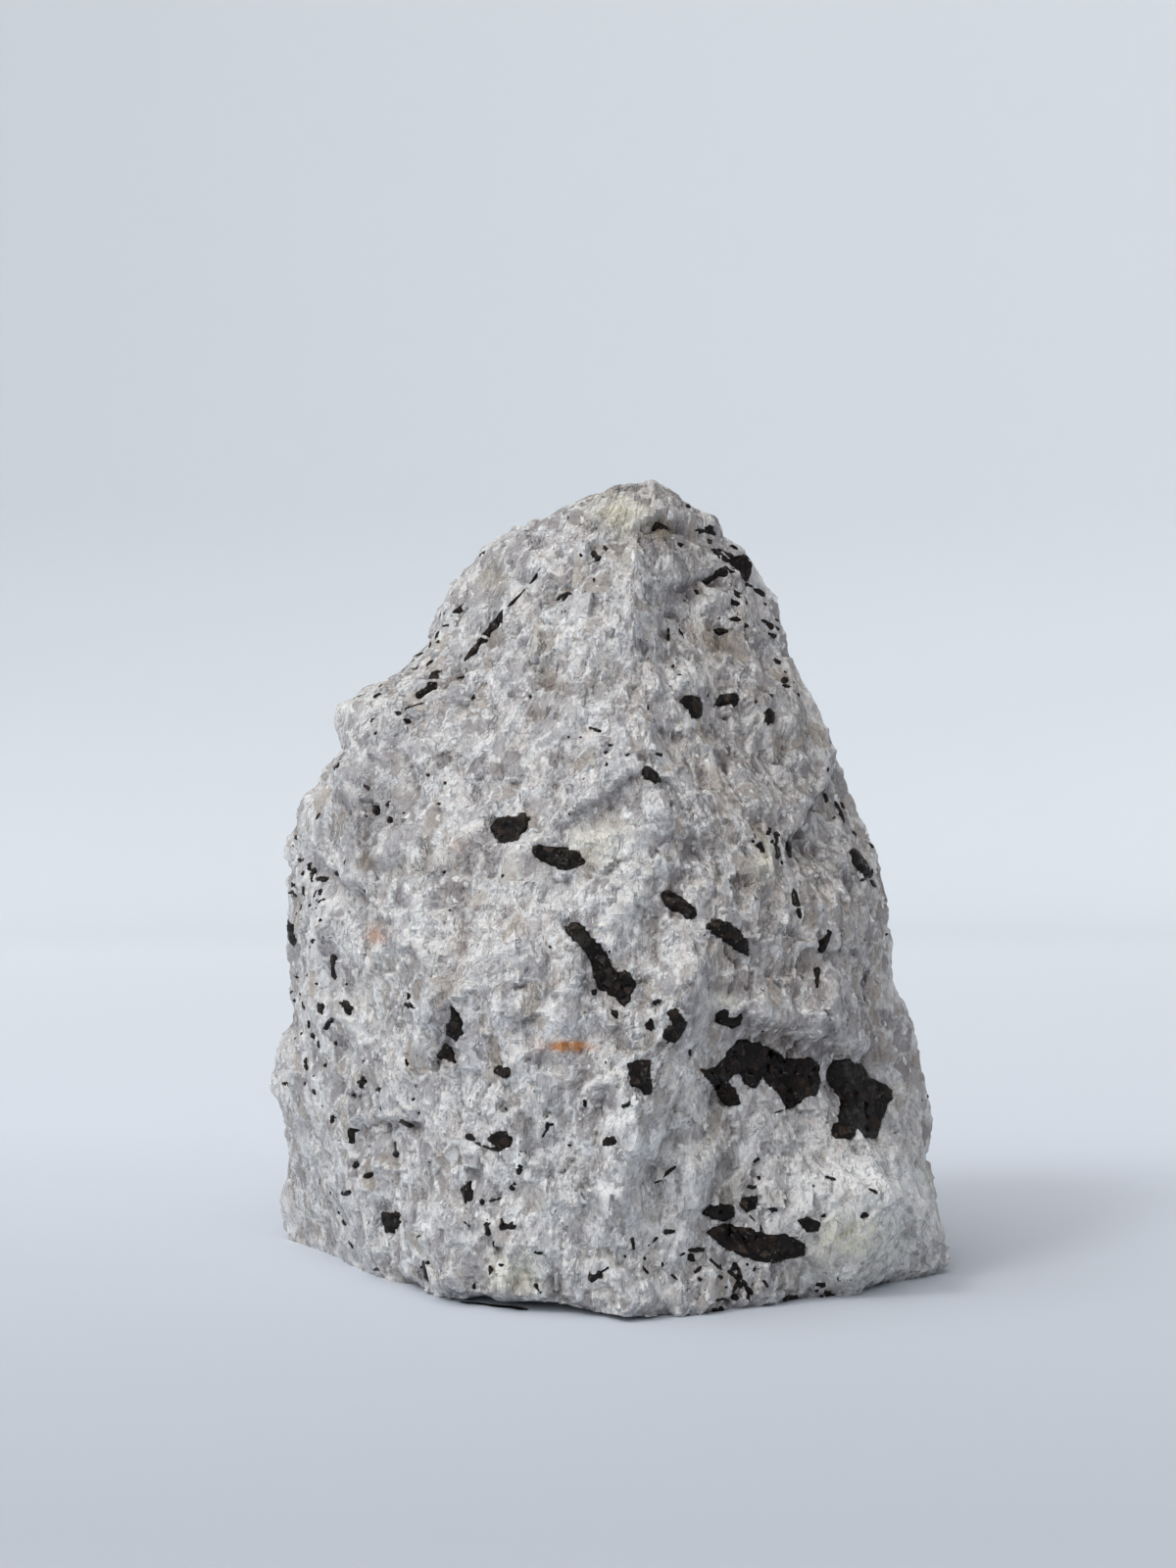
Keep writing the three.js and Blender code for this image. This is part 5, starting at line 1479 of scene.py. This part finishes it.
# sizes in mm
CHUNK, DUST = 0.8, 0.5
DUST_RISE = 0.18 * MM
crystal_finish, tree = new_finish("black_tourmaline_striated")
where = add_node(tree, "TexCoord", {}).outputs["Object"]
chunk = add_node(tree, "TexVoronoi", {"Vector": where, "Scale": per_mm(CHUNK)})
chunk_own = add_node(tree, "SeparateColor", {0: chunk.outputs["Color"]}).outputs
dust = add_node(tree, "TexNoise", {
    "Vector": where, "Scale": per_mm(DUST), "Detail": 3.0, "Roughness": 0.65})
body = add_node(tree, "ValToRGB", {0: chunk_own[0]}, [(0.0, "#090504"), (0.7, "#100a07"), (1.0, "#30241c")])
# pale specks: partly quartz dust, partly painted glints
dust_and_painted_glints = add_node(tree, "MapRange", {"Value": dust, "From Min": 0.65, "From Max": 0.7, "To Max": 0.85})
tone = add_node(tree, "Mix", {SHARE: dust_and_painted_glints, UNDER: body, OVER: linear("#85796f")}, data_type="RGBA")
face = facets(tree, where, chunk)
rise = add_node(tree, "Math", {0: dust, 1: DUST_RISE, 2: face}, operation="MULTIPLY_ADD")
bump = add_node(tree, "Bump", {"Height": rise, "Strength": 0.9, "Distance": 0.9})
gloss = add_node(tree, "MapRange", {
    "Value": chunk_own[1], "From Min": 0.15, "From Max": 0.5, "To Min": 0.12, "To Max": 0.5})
shader = add_node(tree, "BsdfPrincipled", {
    "Base Color": tone, "Normal": bump, "Roughness": gloss,
    "IOR": TOURMALINE_IOR, "Specular IOR Level": 0.15})
add_node(tree, "OutputMaterial", {"Surface": shader})
for piece in crystal_pieces + small_pieces:
    piece.data.materials.append(crystal_finish)
print("tourmaline finish:", len(tree.nodes), "nodes")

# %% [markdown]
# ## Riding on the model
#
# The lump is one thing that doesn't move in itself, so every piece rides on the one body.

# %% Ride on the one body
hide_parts("quartz_matrix")
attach(quartz_lump, "root")
for piece in crystal_pieces + small_pieces:
    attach(piece, "root")
print("riding on root:", 1 + len(crystal_pieces) + len(small_pieces), "pieces")

# %% [markdown]
# ## A pale ground to stand on
#
# The stone stands on a pale floor that bends softly up far behind it. The profile is carried all
# round, so that it makes an even ground from every side. It casts no shadow, so its rim doesn't hold
# the light back.

# %% The ground
FLOOR_RADIUS, BEND_RADIUS, RIM_TOP = 700.0, 200.0, 620.0
ROUND, BEND_POINTS = 96, 25


def round_sweep():
    """A profile of floor, quarter circle and upright, carried round the upright axis, facing inwards."""
    angle = np.linspace(0, math.pi / 2, BEND_POINTS)
    radius = np.concatenate([FLOOR_RADIUS + BEND_RADIUS * np.sin(angle), [FLOOR_RADIUS + BEND_RADIUS]])
    z = np.concatenate([BEND_RADIUS * (1 - np.cos(angle)), [RIM_TOP]])
    turn = np.arange(ROUND) * 2 * math.pi / ROUND
    grid = np.stack([radius[:, None] * np.cos(turn), radius[:, None] * np.sin(turn),
                     np.broadcast_to(z[:, None], (len(z), ROUND))], -1)
    quads, fans = skin_faces(len(z), ROUND, len(z) * ROUND, 0)
    points = np.concatenate([grid.reshape(-1, 3), np.zeros((1, 3))])
    return new_mesh("studio_ground", points, quads[:, ::-1], fans[:ROUND, ::-1])


floor = round_sweep()
floor.visible_shadow = False
print("ground:", len(floor.data.polygons), "faces")

# %% [markdown]
# ## Finish of the ground
#
# A matt white board, a little cooler than the stone. Painted shade runs along its depth plus height,
# in metres: a little darker at the very front.

# %% Finish of the ground
SHADE_FROM, SHADE_TO = -0.1, 1.5
floor_finish, tree = new_finish("matt_pale_board")
where = add_node(tree, "TexCoord", {}).outputs["Object"]
place = add_node(tree, "SeparateXYZ", {0: where}).outputs
along = add_node(tree, "Math", {0: place[1], 1: place[2]}, operation="ADD")
along = add_node(tree, "MapRange", {"Value": along, "From Min": SHADE_FROM, "From Max": SHADE_TO})
# painted shade: the board's colour is darker towards the front
shade = add_node(tree, "ValToRGB", {0: along}, [
    (0.0, "#c8cfda"), (0.14, "#e5ecf7"), (0.4, "#edf4fc"), (0.65, "#dfe5ec"), (1.0, "#e0e5eb")])
shader = add_node(tree, "BsdfPrincipled", {"Base Color": shade, "Roughness": 0.9, "Specular IOR Level": 0.2})
add_node(tree, "OutputMaterial", {"Surface": shader})
floor.data.materials.append(floor_finish)
print("finish of the ground:", len(tree.nodes), "nodes")

# %% [markdown]
# ## Light
#
# One very large soft light from the upper left gives the left faces their brightness, leaves the
# right ones in shade and lets the shadow on the floor fade out. A smaller one in the same direction
# brings out the grain and its sparks. A weak even surround keeps the shade from going black.

# %% Lights
LUMP_MIDDLE = (0, 0, 45)
NEARLY_WHITE = "#fffefb"


def area_light(name, at, size, watts):
    """A square soft light at a place in mm, turned so that its own -Z points at the lump's middle."""
    lamp = bpy.data.lights.new(name, "AREA")
    lamp.shape = "SQUARE"
    lamp.size = size * MM
    lamp.energy = watts
    lamp.color = linear(NEARLY_WHITE)[:3]
    thing = bpy.data.objects.new(name, lamp)
    thing.location = np.array(at) * MM
    aim = np.array(LUMP_MIDDLE, float) - np.array(at, float)
    down, around = math.atan2(math.hypot(aim[0], aim[1]), -aim[2]), math.atan2(aim[1], aim[0])
    thing.rotation_euler = (down, 0, around - math.pi / 2)
    bpy.context.scene.collection.objects.link(thing)


area_light("wide_soft_light", at=(-950, -1050, 1800), size=3500, watts=56.5)
area_light("grain_light", at=(-1100, -900, 1500), size=420, watts=9.0)

# %% [markdown]
# ## Even surround
#
# A weak warm surround stands for the light that a room throws back. Few bounces are enough, since all
# that shows is a matt stone on a matt floor, and they keep the render short.

# %% Even surround and bounces
world = bpy.data.worlds.new("even_surround")
world.use_nodes = True
surround = world.node_tree.nodes["Background"]
surround.inputs["Color"].default_value = linear("#fff8f2")
surround.inputs["Strength"].default_value = 0.2
bpy.context.scene.world = world
cycles = bpy.context.scene.cycles
cycles.max_bounces, cycles.diffuse_bounces, cycles.glossy_bounces = 3, 2, 1
print("bounces:", cycles.max_bounces)

# %% [markdown]
# ## Camera
#
# The viewpoint is the one that the grid of the front was drawn from: 290 mm away and level, a little
# above the middle of the lump.

# %% Camera
SENSOR, LENS = 36.0, 54.0
eye = bpy.data.cameras.new("viewpoint")
eye.sensor_width = SENSOR
eye.lens = LENS
eye.clip_start = 0.01
camera = bpy.data.objects.new("viewpoint", eye)
camera.location = EYE * MM
camera.rotation_euler = (math.pi / 2, 0, 0)
bpy.context.scene.collection.objects.link(camera)
bpy.context.scene.camera = camera
bpy.context.scene.view_settings.view_transform = "Standard"
print("camera at", tuple(round(x, 3) for x in camera.location))
